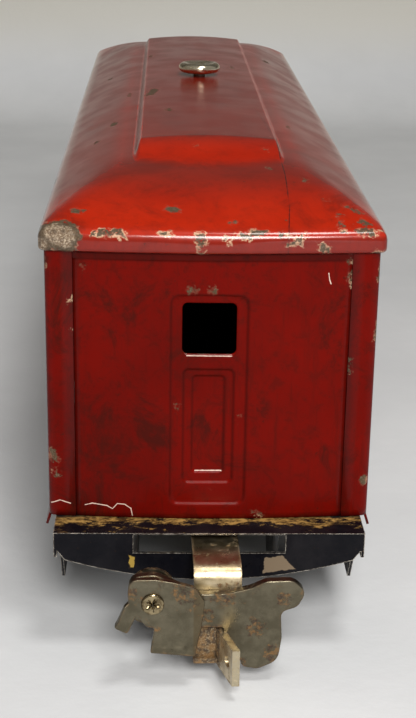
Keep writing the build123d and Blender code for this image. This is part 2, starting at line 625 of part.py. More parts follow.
def coupler_head():
    """Flat head plate: round lobe, dipped bar, horn and hanging paddle."""
    lobe_x = LATCH_RIVET_X
    outline = make_face([
        Spline((lobe_x, LATCH_RIVET_Z + LOBE_RADIUS), (-3.1, 19.1), (3.2, 18.2), (8.6, 19.4), (15.0, 20.7)),
        ThreePointArc((15.0, 20.7), (16.1, 18.4), (14.8, 15.6)),
        Line((14.8, 15.6), (12.7, 14.5)),
        Spline((12.7, 14.5), (11.8, 11.0), (11.7, 7.6), (9.9, 4.3), (7.3, 3.0)),
        ThreePointArc((7.3, 3.0), (4.6, 4.0), (3.7, 6.6)),
        Polyline((3.7, 6.6), (4.1, 11.0), (-2.3, 11.9), (lobe_x, LATCH_RIVET_Z - LOBE_RADIUS)),
        Line((lobe_x, LATCH_RIVET_Z - LOBE_RADIUS), (lobe_x, LATCH_RIVET_Z + LOBE_RADIUS)),
    ])
    front_y = HEAD_BACK_Y - HEAD_SHEET
    head = extrude_y(outline, front_y, HEAD_BACK_Y)
    head += pin_y(LOBE_RADIUS, front_y, HEAD_BACK_Y, lobe_x, LATCH_RIVET_Z)
    head -= pin_y(LATCH_RIVET_RADIUS + 0.02, front_y - 1, HEAD_BACK_Y + 1, lobe_x, LATCH_RIVET_Z)
    return swing(head)


def latch_plate():
    """Swinging latch in front of the head, with a thumb tail."""
    outline = make_face([
        Polyline((-1.6, 4.5), (0.7, 5.2), (7.8, 3.3)),
        ThreePointArc((7.8, 3.3), (9.2, 1.9), (9.8, -0.1)),
        Polyline((9.8, -0.1), (9.3, -4.1), (8.1, -10.2), (0.2, -9.5), (0.8, -4.4), (-2.4, -3.7)),
        Polyline((-2.4, -3.7), (-4.6, -4.9), (-6.4, -2.6), (-4.6, -0.4), (-3.7, -0.4)),
        Spline((-3.7, -0.4), (-3.2, 2.2), (-1.6, 4.5)),
    ])
    back_y = HEAD_BACK_Y - HEAD_SHEET - LATCH_GAP
    plate = extrude_y(outline, back_y - LATCH_SHEET, back_y)
    plate -= pin_y(LATCH_RIVET_RADIUS + RUNNING_FIT, back_y - 5, back_y + 5, 0, 0)
    return swing(Pos(LATCH_RIVET_X, 0, LATCH_RIVET_Z) * plate)


def latch_rivet():
    """Shouldered rivet through spring, head and latch."""
    front_y = HEAD_BACK_Y - HEAD_SHEET - LATCH_GAP - LATCH_SHEET - 0.1
    tail_y = HEAD_BACK_Y + SPRING_LENGTH + 1.0
    x = LATCH_RIVET_X
    z = LATCH_RIVET_Z
    rivet = pin_y(LATCH_RIVET_RADIUS, front_y, tail_y, x, z)
    rivet += pin_y(LATCH_RIVET_HEAD_RADIUS, front_y - 0.7, front_y, x, z)
    rivet += pin_y(LATCH_RIVET_HEAD_RADIUS, tail_y, tail_y + 0.5, x, z)
    return swing(rivet)


def latch_washer():
    """Washer that keeps the spring on the rivet."""
    low_y = HEAD_BACK_Y + SPRING_LENGTH + 0.3
    ring = pin_y(SPRING_RADIUS + 0.2, low_y, low_y + 0.6, LATCH_RIVET_X, LATCH_RIVET_Z)
    bore = pin_y(LATCH_RIVET_RADIUS + 0.02, low_y - 1, low_y + 2, LATCH_RIVET_X, LATCH_RIVET_Z)
    return swing(ring - bore)


def latch_spring():
    """Coil behind the lobe, with one leg along the back of the bar."""
    low_y = HEAD_BACK_Y + 0.15
    high_y = low_y + SPRING_LENGTH
    coil = pin_y(SPRING_RADIUS, low_y, high_y, LATCH_RIVET_X, LATCH_RIVET_Z)
    coil -= pin_y(SPRING_RADIUS - SPRING_WIRE, low_y - 1, high_y + 1, LATCH_RIVET_X, LATCH_RIVET_Z)
    leg_z = (LATCH_RIVET_Z - SPRING_RADIUS, LATCH_RIVET_Z - SPRING_RADIUS + SPRING_WIRE)
    leg = block((LATCH_RIVET_X, -SHANK_HALF_WIDTH - 0.4), (low_y, low_y + SPRING_WIRE), leg_z)
    return swing(coil + leg)


# Every node, by name

def body_nodes():
    right_side = side_sheet()
    right_glazing = glazing_strip()
    return {
        "floor_frame": floor_frame(),
        "right_side": right_side,
        "left_side": half_turn(right_side),
        "right_glazing": right_glazing,
        "left_glazing": half_turn(right_glazing),
        "roof_bridge": roof_bridge(),
        "roof_stud": roof_stud(),
        "roof": roof_shell(),
        "roof_knob": roof_knob(),
    }


def front_nodes():
    nodes = {
        "end_panel": end_panel(),
        "end_screws": end_screws(),
        "left_step": step_plate(-1),
        "right_step": step_plate(1),
        "kingpin": kingpin(),
        "kingpin_washers": kingpin_washers(),
        "kingpin_clip": kingpin_clip(),
        "truck_bolster": truck_bolster(),
        "truck_right_frame": truck_side_frame(),
        "coupler_shank": coupler_shank(),
        "coupler_head": coupler_head(),
        "latch": latch_plate(),
        "latch_rivet": latch_rivet(),
        "latch_washer": latch_washer(),
        "latch_spring": latch_spring(),
    }
    nodes["truck_left_frame"] = mirror(nodes["truck_right_frame"], about=Plane.YZ)
    for place, axle_y in (("outer", TRUCK_Y - HALF_WHEELBASE), ("inner", TRUCK_Y + HALF_WHEELBASE)):
        nodes[place + "_axle"] = axle_at(axle_y)
        nodes[place + "_left_wheel"] = wheel_at(-1, axle_y)
        nodes[place + "_right_wheel"] = wheel_at(1, axle_y)
    return nodes


def all_nodes():
    nodes = body_nodes()
    for name, part in front_nodes().items():
        nodes["front_" + name] = part
        nodes["rear_" + name] = half_turn(part)
    return nodes


os.makedirs("parts", exist_ok=True)
for node_name, node_part in all_nodes().items():
    export_step(node_part, "parts/" + node_name + ".step")
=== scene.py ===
"""Looks for the model passenger coach: worn red and black enamel over pressed steel, and
rusty nickel-plated couplers. Lengths are written in millimetres, and MM turns them into metres."""
import math

import bmesh
import bpy
import numpy as np
from mathutils import Matrix, Vector


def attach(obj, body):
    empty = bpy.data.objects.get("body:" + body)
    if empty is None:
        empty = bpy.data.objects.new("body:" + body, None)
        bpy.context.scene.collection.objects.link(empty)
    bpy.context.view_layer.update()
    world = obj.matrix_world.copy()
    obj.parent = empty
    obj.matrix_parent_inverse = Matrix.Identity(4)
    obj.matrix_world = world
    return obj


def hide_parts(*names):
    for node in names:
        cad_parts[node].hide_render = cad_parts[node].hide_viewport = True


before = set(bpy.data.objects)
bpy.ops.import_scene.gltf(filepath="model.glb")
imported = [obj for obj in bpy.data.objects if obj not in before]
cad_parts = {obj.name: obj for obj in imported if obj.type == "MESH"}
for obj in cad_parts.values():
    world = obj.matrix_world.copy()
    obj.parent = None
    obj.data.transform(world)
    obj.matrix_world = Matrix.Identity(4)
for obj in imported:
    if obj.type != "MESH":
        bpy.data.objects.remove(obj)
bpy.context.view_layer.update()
MM = 0.001

# ---------------------------------------------------------------- driving sizes, in mm
BODY_HALF_WIDTH = 30.8
BODY_CORNER_Y = 122.2
END_BOW = 2.0
BODY_CORNER_RADIUS = 1.4
BODY_FOOT_Z = 24.9
BODY_TOP_Z = 80.9
SHEET = 0.5
STRIP_EDGE_X = 25.6
SEAM_GAP = 0.08
HEADER_Z = 76.2
HEADER_STEP = 0.28
SKIRT_FOOT_Z = 22.2
SKIRT_FLARE = 0.8
SKIRT_HALF_LENGTH = 120.4

# Doors: nested recesses as (half width, foot, head, corner radius), each PRESS_DEPTH deeper
END_DOOR = ((7.1, 28.0, 69.7, 1.6), (4.7, 32.3, 55.2, 1.0), (3.0, 34.3, 53.8, 0.7))
END_DOOR_X = -0.45
END_DOOR_ARCH = 0.35
SIDE_DOOR = ((7.2, 28.9, 69.8, 1.6), (4.8, 32.2, 55.6, 1.0))
PRESS_DEPTH = 0.4
PRESS_WALL = 0.6
SIDE_DOOR_Y = 109.5
# Windows as (half width, foot, head, corner radius)
END_DOOR_WINDOW = (5.0, 58.3, 68.1, 1.0)
SIDE_DOOR_WINDOW = (4.5, 58.5, 68.3, 1.0)
SIDE_WINDOW = (7.5, 45.0, 65.0, 1.5)
SIDE_WINDOW_COUNT = 8
SIDE_WINDOW_PITCH = 23.5
BELT_RAIL_Z = 41.0
BELT_RAIL_HALF_LENGTH = 99.0
BELT_RAIL_RADIUS = 0.45
SIDE_WINDOW_FRAME = 2.2
SIDE_WINDOW_FRAME_RADIUS = 2.4
SIDE_WINDOW_FRAME_DEPTH = 0.3
WINDOW_MARGIN = 1.2

ROOF_HALF_WIDTH = 31.75
ROOF_CORNER_Y = 123.2
RIM_FOOT_Z = 77.6
RIM_HEAD_Z = 81.5
RIM_FOLD = 1.3
ROOF_CROWN_Z = 91.0
ROOF_END_Z = 88.5
ROOF_END_RUN = 36.0
ROOF_PLAN_RADIUS = 1.3
CLERESTORY_HALF_WIDTH = 13.7
CLERESTORY_SIDE_RUN = 2.0
CLERESTORY_DROP = 4.5
CLERESTORY_EDGE_Z = 91.5
CLERESTORY_CROWN_Z = 92.3
CLERESTORY_TOP_RUN = 41.0
CLERESTORY_FRONT_RUN = 13.8

KINGPIN_Y = -74.0
REST_SWING = math.radians(1.13)
HEAD_BACK_Y = -140.4
HEAD_SHEET = 1.8
LATCH_GAP = 0.3
LATCH_SHEET = 1.2
RIVET_X = -12.0
RIVET_Z = 17.4
COUPLER_REACH = 142.0
BEAM_FACE_Y = -129.6

# Rust clusters on the front coupler, as (centre, radius)
RUST_SPOTS = (
    ((-4.8, -143.6, 19.6), 3.6), ((2.8, -142.0, 18.4), 3.3), ((13.6, -142.0, 17.4), 2.2),
    ((8.4, -142.0, 11.6), 3.0), ((-14.6, -143.6, 19.6), 2.4), ((11.6, -142.0, 6.0), 2.8),
    ((5.5, -142.0, 3.6), 2.4), ((-0.8, -141.8, 14.2), 2.4),
)
# Bare patch and yellow blob on the front beam, as (x, z) corners
BEAM_PATCH = ((10.2, 16.4), (10.5, 19.7), (13.9, 20.3), (16.5, 17.3))
BEAM_BLOB = ((-15.4, 18.4), (-15.2, 20.2), (-13.9, 20.0), (-14.3, 17.4))
# Crack in the roof's enamel, as (x, y) points
ROOF_CRACK = ((11.8, -50.0), (12.9, -66.0), (14.1, -88.0), (14.4, -101.0), (14.2, -116.0), (13.4, -126.0))
# Pale scratches, and painted highlights along the lower lips of the door window and the inner door recess,
# on an end face, as lines of (x, z) points
SCRATCHES_AND_LIP_HIGHLIGHTS = (
    ((-23.8, 27.2), (-22.4, 27.6), (-20.9, 27.4), (-19.6, 27.2), (-18.5, 26.6)),
    ((-18.5, 26.6), (-17.6, 27.7), (-16.2, 27.6), (-15.0, 26.8), (-14.7, 25.3)),
    ((-30.3, 27.4), (-28.6, 28.1), (-26.6, 27.5)),
    ((21.2, 73.8), (21.4, 72.6), (21.7, 71.8)),
    ((-4.6, 57.9), (3.8, 57.9)),
    ((-2.8, 34.5), (2.2, 34.5)),
)


# ---------------------------------------------------------------- mesh helpers

def add_object(name, data):
    obj = bpy.data.objects.new(name, data)
    bpy.context.scene.collection.objects.link(obj)
    return obj


def mesh_object(name, points, faces):
    """Smooth-shaded mesh from points in millimetres."""
    mesh = bpy.data.meshes.new(name)
    mesh.from_pydata([tuple(p) for p in np.asarray(points, float) * MM], [], faces)
    mesh.update()
    mesh.shade_smooth()
    return add_object(name, mesh)


def store(obj, name, values):
    """Keep one number for each vertex, for the materials to read."""
    attribute = obj.data.attributes.new(name, "FLOAT", "POINT")
    attribute.data.foreach_set("value", np.asarray(values, np.float32))


def points_of(obj):
    """A mesh's points in millimetres, as columns x, y, z."""
    return np.array([vertex.co for vertex in obj.data.vertices]) / MM


def solidify(obj, thickness, side=-1.0, even=False, inner_slot=1):
    """Give a sheet its thickness, inwards from its outer face (side -1) or outwards (side 1)."""
    modifier = obj.modifiers.new("sheet", "SOLIDIFY")
    modifier.thickness = thickness * MM
    modifier.offset = side
    modifier.use_even_offset = even
    modifier.material_offset = inner_slot
    modifier.material_offset_rim = 0


def round_edges(obj, width, segments, angle, harden):
    """Round every edge sharper than an angle in degrees."""
    modifier = obj.modifiers.new("edges", "BEVEL")
    modifier.width = width * MM
    modifier.segments = segments
    modifier.limit_method = "ANGLE"
    modifier.angle_limit = math.radians(angle)
    modifier.harden_normals = harden


def grid_faces(us, vs, keep):
    """Faces of a grid, where keep(u, v) says yes to the middle of a face."""
    columns = len(us)
    faces = []
    for j in range(len(vs) - 1):
        for i in range(columns - 1):
            if keep((us[i] + us[i + 1]) / 2, (vs[j] + vs[j + 1]) / 2):
                corner = j * columns + i
                faces.append((corner, corner + 1, corner + columns + 1, corner + columns))
    return faces


def grid_loop(i0, i1, j0, j1):
    """Grid places (i, j) once round a block."""
    loop = [(i, j0) for i in range(i0, i1)]
    loop += [(i1, j) for j in range(j0, j1)]
    loop += [(i, j1) for i in range(i1, i0, -1)]
    return loop + [(i0, j) for j in range(j1, j0, -1)]


def strip_faces(ring, next_ring):
    """Faces between two closed rings of point numbers."""
    afters = [(k + 1) % len(ring) for k in range(len(ring))]
    return [(ring[k], ring[after], next_ring[after], next_ring[k]) for k, after in enumerate(afters)]


def closed_tube(rings, segments):
    """Faces of a tube with both ends closed."""
    last = (rings - 1) * segments
    caps = [tuple(range(segments - 1, -1, -1)), tuple(range(last, last + segments))]
    return tube_faces(rings, segments) + caps


def tube_faces(rings, segments):
    """Faces of an open tube whose points are listed ring by ring."""
    numbers = [range(j * segments, (j + 1) * segments) for j in range(rings)]
    return [face for pair in zip(numbers, numbers[1:]) for face in strip_faces(*pair)]


def grid_lines(low, high, step, details=(), marks=()):
    """Sorted grid positions at an even step, closer about each detail and exact at each mark.

    A detail is (centre, reach, step)."""
    values = list(np.linspace(low, high, max(2, int(round((high - low) / step)) + 1)))
    for centre, reach, fine in details:
        near = np.arange(centre - reach, centre + reach + fine / 2, fine)
        values = [v for v in values if abs(v - centre) > reach + fine / 2]
        values += list(near)
    for mark in marks:
        values = [v for v in values if abs(v - mark) > 0.12]
    values = sorted(v for v in values + list(marks) + [low, high] if low <= v <= high)
    kept = [values[0]]
    for value in values[1:]:
        if value - kept[-1] > 0.03:
            kept.append(value)
    kept[-1] = high
    return np.array(kept)


def smooth_min(a, b, blend):
    share = unit(0.5 + 0.5 * (b - a) / blend)
    return b * (1 - share) + a * share - blend * share * (1 - share)


def smooth_max(a, b, blend):
    return -smooth_min(-a, -b, blend)


def unit(t):
    return np.clip(t, 0, 1)


def smooth_step(t):
    t = unit(t)
    return t * t * (3 - 2 * t)


def box_distance(u, v, half_u, foot, head, radius, centre_u=0.0):
    """Signed distance to a rounded rectangle, negative inside."""
    half_v = (head - foot) / 2
    across = np.abs(u - centre_u) - (half_u - radius)
    upright = np.abs(v - (head + foot) / 2) - (half_v - radius)
    outside = np.hypot(np.maximum(across, 0), np.maximum(upright, 0))
    return outside + np.minimum(np.maximum(across, upright), 0) - radius


def wobble(a, b, amount, seed=0.0):
    """Gentle unevenness of old pressed sheet."""
    wave = np.sin(a / 8.7 + 1.3 + seed) * np.sin(b / 13.1 + 0.4 + 2 * seed)
    wave += 0.6 * np.sin(a / 4.3 + b / 7.9 + seed) + 0.4 * np.sin(b / 5.1 - a / 9.7 + 3 * seed)
    return amount * wave / 2


def patch_field(points, patches):
    """Depth inside the nearest bare patch, each a rod (start, run, radius); negative outside."""
    field = np.full(len(points), -3.0)
    for start, run, radius in patches:
        run = np.array(run)
        share = ((points - start) @ run) / max(run @ run, 1e-9)
        nearest = start + unit(share)[:, None] * run
        field = np.maximum(field, radius - np.linalg.norm(points - nearest, axis=1))
    return field


# ---------------------------------------------------------------- material helpers

class Shader:
    """Writes one node material; each method adds a node and returns its output."""

    def __init__(self, name):
        self.material = bpy.data.materials.new(name)
        self.material.use_nodes = True
        self.tree = self.material.node_tree
        self.tree.nodes.clear()
        self.output = self.tree.nodes.new("ShaderNodeOutputMaterial")
        coordinates = self.node("ShaderNodeTexCoord", out="Object")
        self.place = self.node("ShaderNodeVectorMath", {0: coordinates, "Scale": 1 / MM}, operation="SCALE")

    def node(self, kind, values=None, out=0, **settings):
        made = self.tree.nodes.new(kind)
        for key, value in settings.items():
            setattr(made, key, value)
        for key, value in (values or {}).items():
            socket = made.inputs[key]
            if isinstance(value, bpy.types.NodeSocket):
                self.tree.links.new(value, socket)
            else:
                socket.default_value = value
        return made.outputs[out]

    def math(self, operation, *terms):
        """Apply an operation to one term, or from left to right to several."""
        total = terms[0]
        for term in terms[1:] or (0.0,):
            total = self.node("ShaderNodeMath", {0: total, 1: term}, operation=operation)
        return total

    def plus(self, *terms):
        return self.math("ADD", *terms)

    def times(self, *terms):
        return self.math("MULTIPLY", *terms)

    def most(self, *terms):
        return self.math("MAXIMUM", *terms)

    def measure(self, operation, a, b):
        """One number from two vectors."""
        return self.node("ShaderNodeVectorMath", {0: a, 1: b}, out="Value", operation=operation)

    def noise(self, per_mm, detail=3.0, roughness=0.55, stretch=None, distortion=0.0):
        place = self.place
        if stretch is not None:
            place = self.node("ShaderNodeVectorMath", {0: place, 1: stretch}, operation="MULTIPLY")
        values = {"Vector": place, "Scale": per_mm, "Detail": detail, "Roughness": roughness,
                  "Distortion": distortion}
        return self.node("ShaderNodeTexNoise", values, out="Fac")

    def ramp(self, value, low, high, to_low=0.0, to_high=1.0):
        values = {"Value": value, "From Min": low, "From Max": high, "To Min": to_low, "To Max": to_high}
        return self.node("ShaderNodeMapRange", values, interpolation_type="SMOOTHSTEP")

    def mix(self, share, a, b):
        return self.node("ShaderNodeMix", {0: share, 6: a, 7: b}, out=2, data_type="RGBA")

    def attribute(self, name):
        return self.node("ShaderNodeAttribute", out="Fac", attribute_name=name)

    def edge(self, radius):
        """1 on sharp edges, 0 on flat faces, from the shape's own curvature."""
        rounded = self.node("ShaderNodeBevel", {"Radius": radius * MM}, samples=6)
        plain = self.node("ShaderNodeNewGeometry", out="Normal")
        likeness = self.measure("DOT_PRODUCT", rounded, plain)
        return self.ramp(likeness, 0.985, 0.80)

    def facing_up(self):
        normal = self.node("ShaderNodeNewGeometry", out="Normal")
        return self.node("ShaderNodeSeparateXYZ", {0: normal}, out=2)

    def spot(self, centre, radius, ragged=0.6):
        """1 inside a ragged round spot about a point in millimetres."""
        away = self.measure("DISTANCE", self.place, centre)
        roughened = self.plus(away, self.times(self.noise(0.8), radius * ragged))
        return self.ramp(roughened, radius * 1.35, radius * 1.2)

    def along(self, axis):
        return self.node("ShaderNodeSeparateXYZ", {0: self.place}, out="XYZ".index(axis))

    def off_middle(self, axis):
        """Distance from the coach's middle along an axis, the same at both ends."""
        return self.math("ABSOLUTE", self.along(axis))

    def scratch(self, points, width, axes="XZ"):
        """1 along a thin broken line through points given along the two axes."""
        def at(a, b):
            return (a, 0.0, b) if axes == "XZ" else (a, b, 0.0)

        flat = self.node("ShaderNodeVectorMath", {0: self.place, 1: at(1.0, 1.0)}, operation="MULTIPLY")
        nearest = 9.0
        for (a0, b0), (a1, b1) in zip(points, points[1:]):
            away = self.node("ShaderNodeVectorMath", {0: flat, 1: at(a0, b0)}, operation="SUBTRACT")
            length_squared = (a1 - a0) ** 2 + (b1 - b0) ** 2
            run = at((a1 - a0) / length_squared, (b1 - b0) / length_squared)
            share = self.node("ShaderNodeClamp", {0: self.measure("DOT_PRODUCT", away, run)})
            values = {0: at(a1 - a0, b1 - b0), "Scale": share}
            step = self.node("ShaderNodeVectorMath", values, operation="SCALE")
            nearest = self.math("MINIMUM", self.measure("DISTANCE", away, step), nearest)
        roughened = self.plus(nearest, self.times(self.noise(1.4, 4.0), width * 1.6))
        return self.ramp(roughened, width * 1.7, width * 1.2)

    def flake(self, corners, ragged):
        """1 inside a convex outline of (x, z) corners, clockwise, with a ragged edge."""
        inside = 9.0
        for (x0, z0), (x1, z1) in zip(corners, corners[1:] + corners[:1]):
            length = math.hypot(x1 - x0, z1 - z0)
            normal = ((z1 - z0) / length, 0, -(x1 - x0) / length)
            offset = -(normal[0] * x0 + normal[2] * z0)
            depth = self.plus(self.measure("DOT_PRODUCT", self.place, normal), offset)
            inside = self.math("MINIMUM", depth, inside)
        roughened = self.math("SUBTRACT", self.noise(0.9, 5.0, 0.7), 0.5)
        return self.ramp(self.plus(inside, self.times(roughened, ragged)), 0.0, 0.15)

    def bump(self, height, depth):
        values = {"Height": height, "Distance": depth * MM, "Strength": 1.0}
        return self.node("ShaderNodeBump", values, out="Normal")

    def finish(self, clear_behind=False, **inputs):
        """Link or set the surface's inputs; clear_behind makes its back see-through."""
        names = {"color": "Base Color", "metallic": "Metallic", "roughness": "Roughness",
                 "normal": "Normal", "coat": "Coat Weight", "coat_roughness": "Coat Roughness",
                 "specular": "Specular IOR Level", "alpha": "Alpha"}
        values = {names[key]: value for key, value in inputs.items()}
        surface = self.node("ShaderNodeBsdfPrincipled", values)
        if clear_behind:
            behind = self.node("ShaderNodeNewGeometry", out="Backfacing")
            clear = self.node("ShaderNodeBsdfTransparent")
            surface = self.node("ShaderNodeMixShader", {0: behind, 1: surface, 2: clear})
        self.tree.links.new(surface, self.output.inputs["Surface"])
        return self.material


def worn_red(name, bright, dark, grime, gleam, scratches_and_highlights=(), crack=None):
    """Chipped enamel: its two tones, how strongly it is stained, and how glossy it is.

    It reads what store keeps: wear on folds and edges, bare patches, painted shade in creases
    and under the eaves with dark seams, and the foot of the clerestory, where lint and a painted reflection
    lie."""
    s = Shader(name)
    red = s.mix(s.ramp(s.noise(0.035, 4.0, 0.6), 0.35, 0.65), bright, dark)
    smudge = s.ramp(s.noise(0.085, 8.0, 0.74, distortion=0.8), 0.47, 0.66)
    streak = s.ramp(s.noise(0.6, 5.0, 0.75, stretch=(1.0, 1.0, 0.12)), 0.48, 0.72)
    streak = s.times(streak, s.ramp(s.facing_up(), 0.35, 0.10, 0.0, 0.55))
    mottle = s.ramp(s.noise(0.30, 6.0, 0.78, distortion=0.4), 0.47, 0.64, 0.0, 0.50)
    stain = s.times(s.most(smudge, streak, mottle), grime)
    red = s.mix(stain, red, (0.035, 0.008, 0.005, 1))
    fleck = s.ramp(s.noise(0.85, 3.0, 0.6), 0.70, 0.745)
    red = s.mix(s.times(fleck, 0.75), red, (0.045, 0.016, 0.010, 1))
    # Darker red on level tops and on the roof's shoulders beside the clerestory
    level_top = s.ramp(s.facing_up(), 0.962, 0.9995)
    shoulder = s.times(s.ramp(s.off_middle("X"), 13.0, 21.0), s.ramp(s.facing_up(), 0.5, 0.8),
                       s.ramp(s.off_middle("Y"), 118.0, 96.0))
    red = s.mix(s.times(s.most(level_top, shoulder), 0.62), red, (0.085, 0.013, 0.008, 1))
    # Painted shade: faces that turn upright, such as the roof's rim and the walls, darkened towards deep
    # red
    red = s.mix(s.ramp(s.facing_up(), 0.60, 0.10, 0.0, 0.55), red, (0.060, 0.0030, 0.0015, 1))
    # Painted shade in pressed creases and under the roof's eaves, and dark seams between sheets
    red = s.mix(s.times(s.attribute("seam_and_crease_shade"), 0.85), red, (0.020, 0.004, 0.003, 1))
    # Lint along the foot of the clerestory, toned dark on the left flank and pale on the right, where the
    # pale tone is a painted reflection
    lint_and_sheen = s.times(s.attribute("foot"), s.ramp(s.noise(0.5, 5.0, 0.7), 0.36, 0.52))
    lint_and_reflection_tone = s.mix(s.ramp(s.along("X"), -1.0, 1.0), (0.045, 0.026, 0.018, 1), (0.25, 0.19, 0.15, 1))
    red = s.mix(s.times(lint_and_sheen, 0.8), red, lint_and_reflection_tone)
    ragged = s.times(s.math("SUBTRACT", s.noise(0.8, 7.0, 0.75), 0.5), 4.2)
    depth = s.plus(s.attribute("bare"), ragged)
    patch = s.ramp(depth, -0.10, 0.06)
    patch_rim = s.times(s.ramp(depth, -0.45, -0.20), s.ramp(s.noise(0.6, 4.0), 0.42, 0.56))
    cells = {"Vector": s.place, "Scale": 0.15, "Randomness": 1.0}
    spacing = s.node("ShaderNodeTexVoronoi", cells, out="Distance")
    cell_tone = s.node("ShaderNodeTexVoronoi", cells, out="Color")
    size = s.ramp(cell_tone, 0.74, 1.0, -0.06, 0.10)
    inside = s.math("SUBTRACT", size, s.plus(spacing, s.times(ragged, 0.045)))
    chip = s.ramp(inside, 0.0, 0.012)
    worn_edge = s.plus(s.attribute("wear"), s.times(ragged, 0.30))
    edge = s.ramp(worn_edge, 0.84, 0.94)
    bare = s.most(patch, chip, edge)
    cream = s.math("SUBTRACT", patch_rim, patch)
    metal_tone = s.ramp(s.noise(2.6, 6.0, 0.8), 0.44, 0.64)
    metal = s.mix(metal_tone, (0.180, 0.115, 0.068, 1), (0.66, 0.54, 0.40, 1))
    metal = s.mix(s.times(s.ramp(s.noise(0.8, 5.0), 0.52, 0.40), 0.6), metal, (0.060, 0.038, 0.024, 1))
    metal = s.mix(s.times(chip, 0.75), metal, (0.060, 0.040, 0.028, 1))
    metal = s.mix(s.ramp(s.attribute("bare"), 1.2, 0.5, 0.0, 0.80), metal, (0.085, 0.056, 0.030, 1))
    color = s.mix(bare, red, metal)
    on_fold = s.ramp(s.attribute("wear"), 0.10, 0.45, 0.08, 0.95)
    color = s.mix(s.times(cream, on_fold), color, (0.66, 0.44, 0.28, 1))
    marks = 0.0
    # Pale scratches, and painted highlights along lower lips, in one pale tone
    for points in scratches_and_highlights:
        marks = s.most(s.scratch(points, 0.13), marks)
    if scratches_and_highlights:
        color = s.mix(marks, color, (0.72, 0.55, 0.46, 1))
    if crack is not None:
        cracked = s.times(s.scratch(crack, 0.16, "XY"), s.ramp(s.noise(0.12, 3.0), 0.36, 0.46))
        color = s.mix(s.times(cracked, 0.85), color, (0.035, 0.010, 0.008, 1))
    gloss = s.ramp(s.noise(0.12, 2.0, 0.5), 0.3, 0.7, 0.19, 0.27)
    roughness = s.plus(gloss, s.times(bare, 0.38))
    height = s.plus(s.times(bare, -0.7), s.times(s.noise(0.25, 1.0), 0.012), s.times(metal_tone, bare, 0.8))
    return s.finish(color=color, roughness=roughness, normal=s.bump(height, 0.08), specular=gleam,
                    metallic=s.times(bare, 0.25), coat_roughness=0.16,
                    coat=s.times(s.attribute("wear"), 12 * gleam))


def worn_black():
    """Black enamel, worn to brown on top and to steel at its edges, with painted shade making it darker
    inside the body.
    """
    s = Shader("worn_black_enamel")
    dust = s.ramp(s.noise(0.12, 6.0, 0.7), 0.35, 0.75)
    black = s.mix(dust, (0.004, 0.004, 0.006, 1), (0.012, 0.011, 0.013, 1))
    level = s.ramp(s.facing_up(), 0.6, 0.8)
    outside = s.ramp(s.off_middle("Y"), 122.0, 124.0)
    # Painted shade: level faces inside the body darkened towards black, and made rougher
    painted_shade_inside = s.times(level, s.ramp(s.off_middle("Y"), 122.0, 120.0))
    black = s.mix(painted_shade_inside, black, (0.0012, 0.0010, 0.0010, 1))
    ragged = s.noise(0.5, 7.0, 0.75, stretch=(0.55, 1, 1))
    fine = s.noise(1.8, 5.0, 0.75)
    rim = s.ramp(s.plus(s.edge(0.4), s.times(fine, 0.9)), 1.14, 1.26)
    near_body = s.ramp(s.off_middle("Y"), 129.0, 124.8)
    worn = s.plus(ragged, s.times(near_body, 0.16))
    top = s.times(level, outside, s.ramp(worn, 0.585, 0.66))
    brown = s.mix(s.ramp(s.noise(0.9, 6.0, 0.75, stretch=(0.5, 1, 1)), 0.40, 0.62),
                  (0.050, 0.026, 0.010, 1), (0.42, 0.25, 0.075, 1))
    steel = s.mix(s.ramp(fine, 0.40, 0.60), (0.16, 0.13, 0.10, 1), (0.80, 0.74, 0.64, 1))
    scuff = s.times(s.ramp(s.noise(0.7, 5.0, 0.7, stretch=(1, 1, 3)), 0.66, 0.72), outside, 0.6)
    color = s.mix(scuff, black, (0.16, 0.085, 0.035, 1))
    color = s.mix(top, color, brown)
    color = s.mix(rim, color, steel)
    on_front = s.ramp(s.along("Y"), BEAM_FACE_Y + 0.2, BEAM_FACE_Y - 0.2)
    patch = s.times(s.flake(BEAM_PATCH, 1.0), on_front)
    blob = s.times(s.flake(BEAM_BLOB, 1.6), on_front)
    color = s.mix(patch, color, (0.20, 0.15, 0.10, 1))
    color = s.mix(blob, color, (0.36, 0.24, 0.05, 1))
    bare = s.most(top, rim, patch, blob)
    gloss = s.ramp(s.noise(0.3, 4.0), 0.3, 0.7, 0.20, 0.36)
    roughness = s.plus(gloss, s.times(bare, 0.2), s.times(painted_shade_inside, 0.5))
    height = s.plus(s.times(bare, -0.5), s.times(ragged, 0.25))
    return s.finish(color=color, roughness=roughness, normal=s.bump(height, 0.08), specular=0.08,
                    metallic=s.times(rim, 0.8))


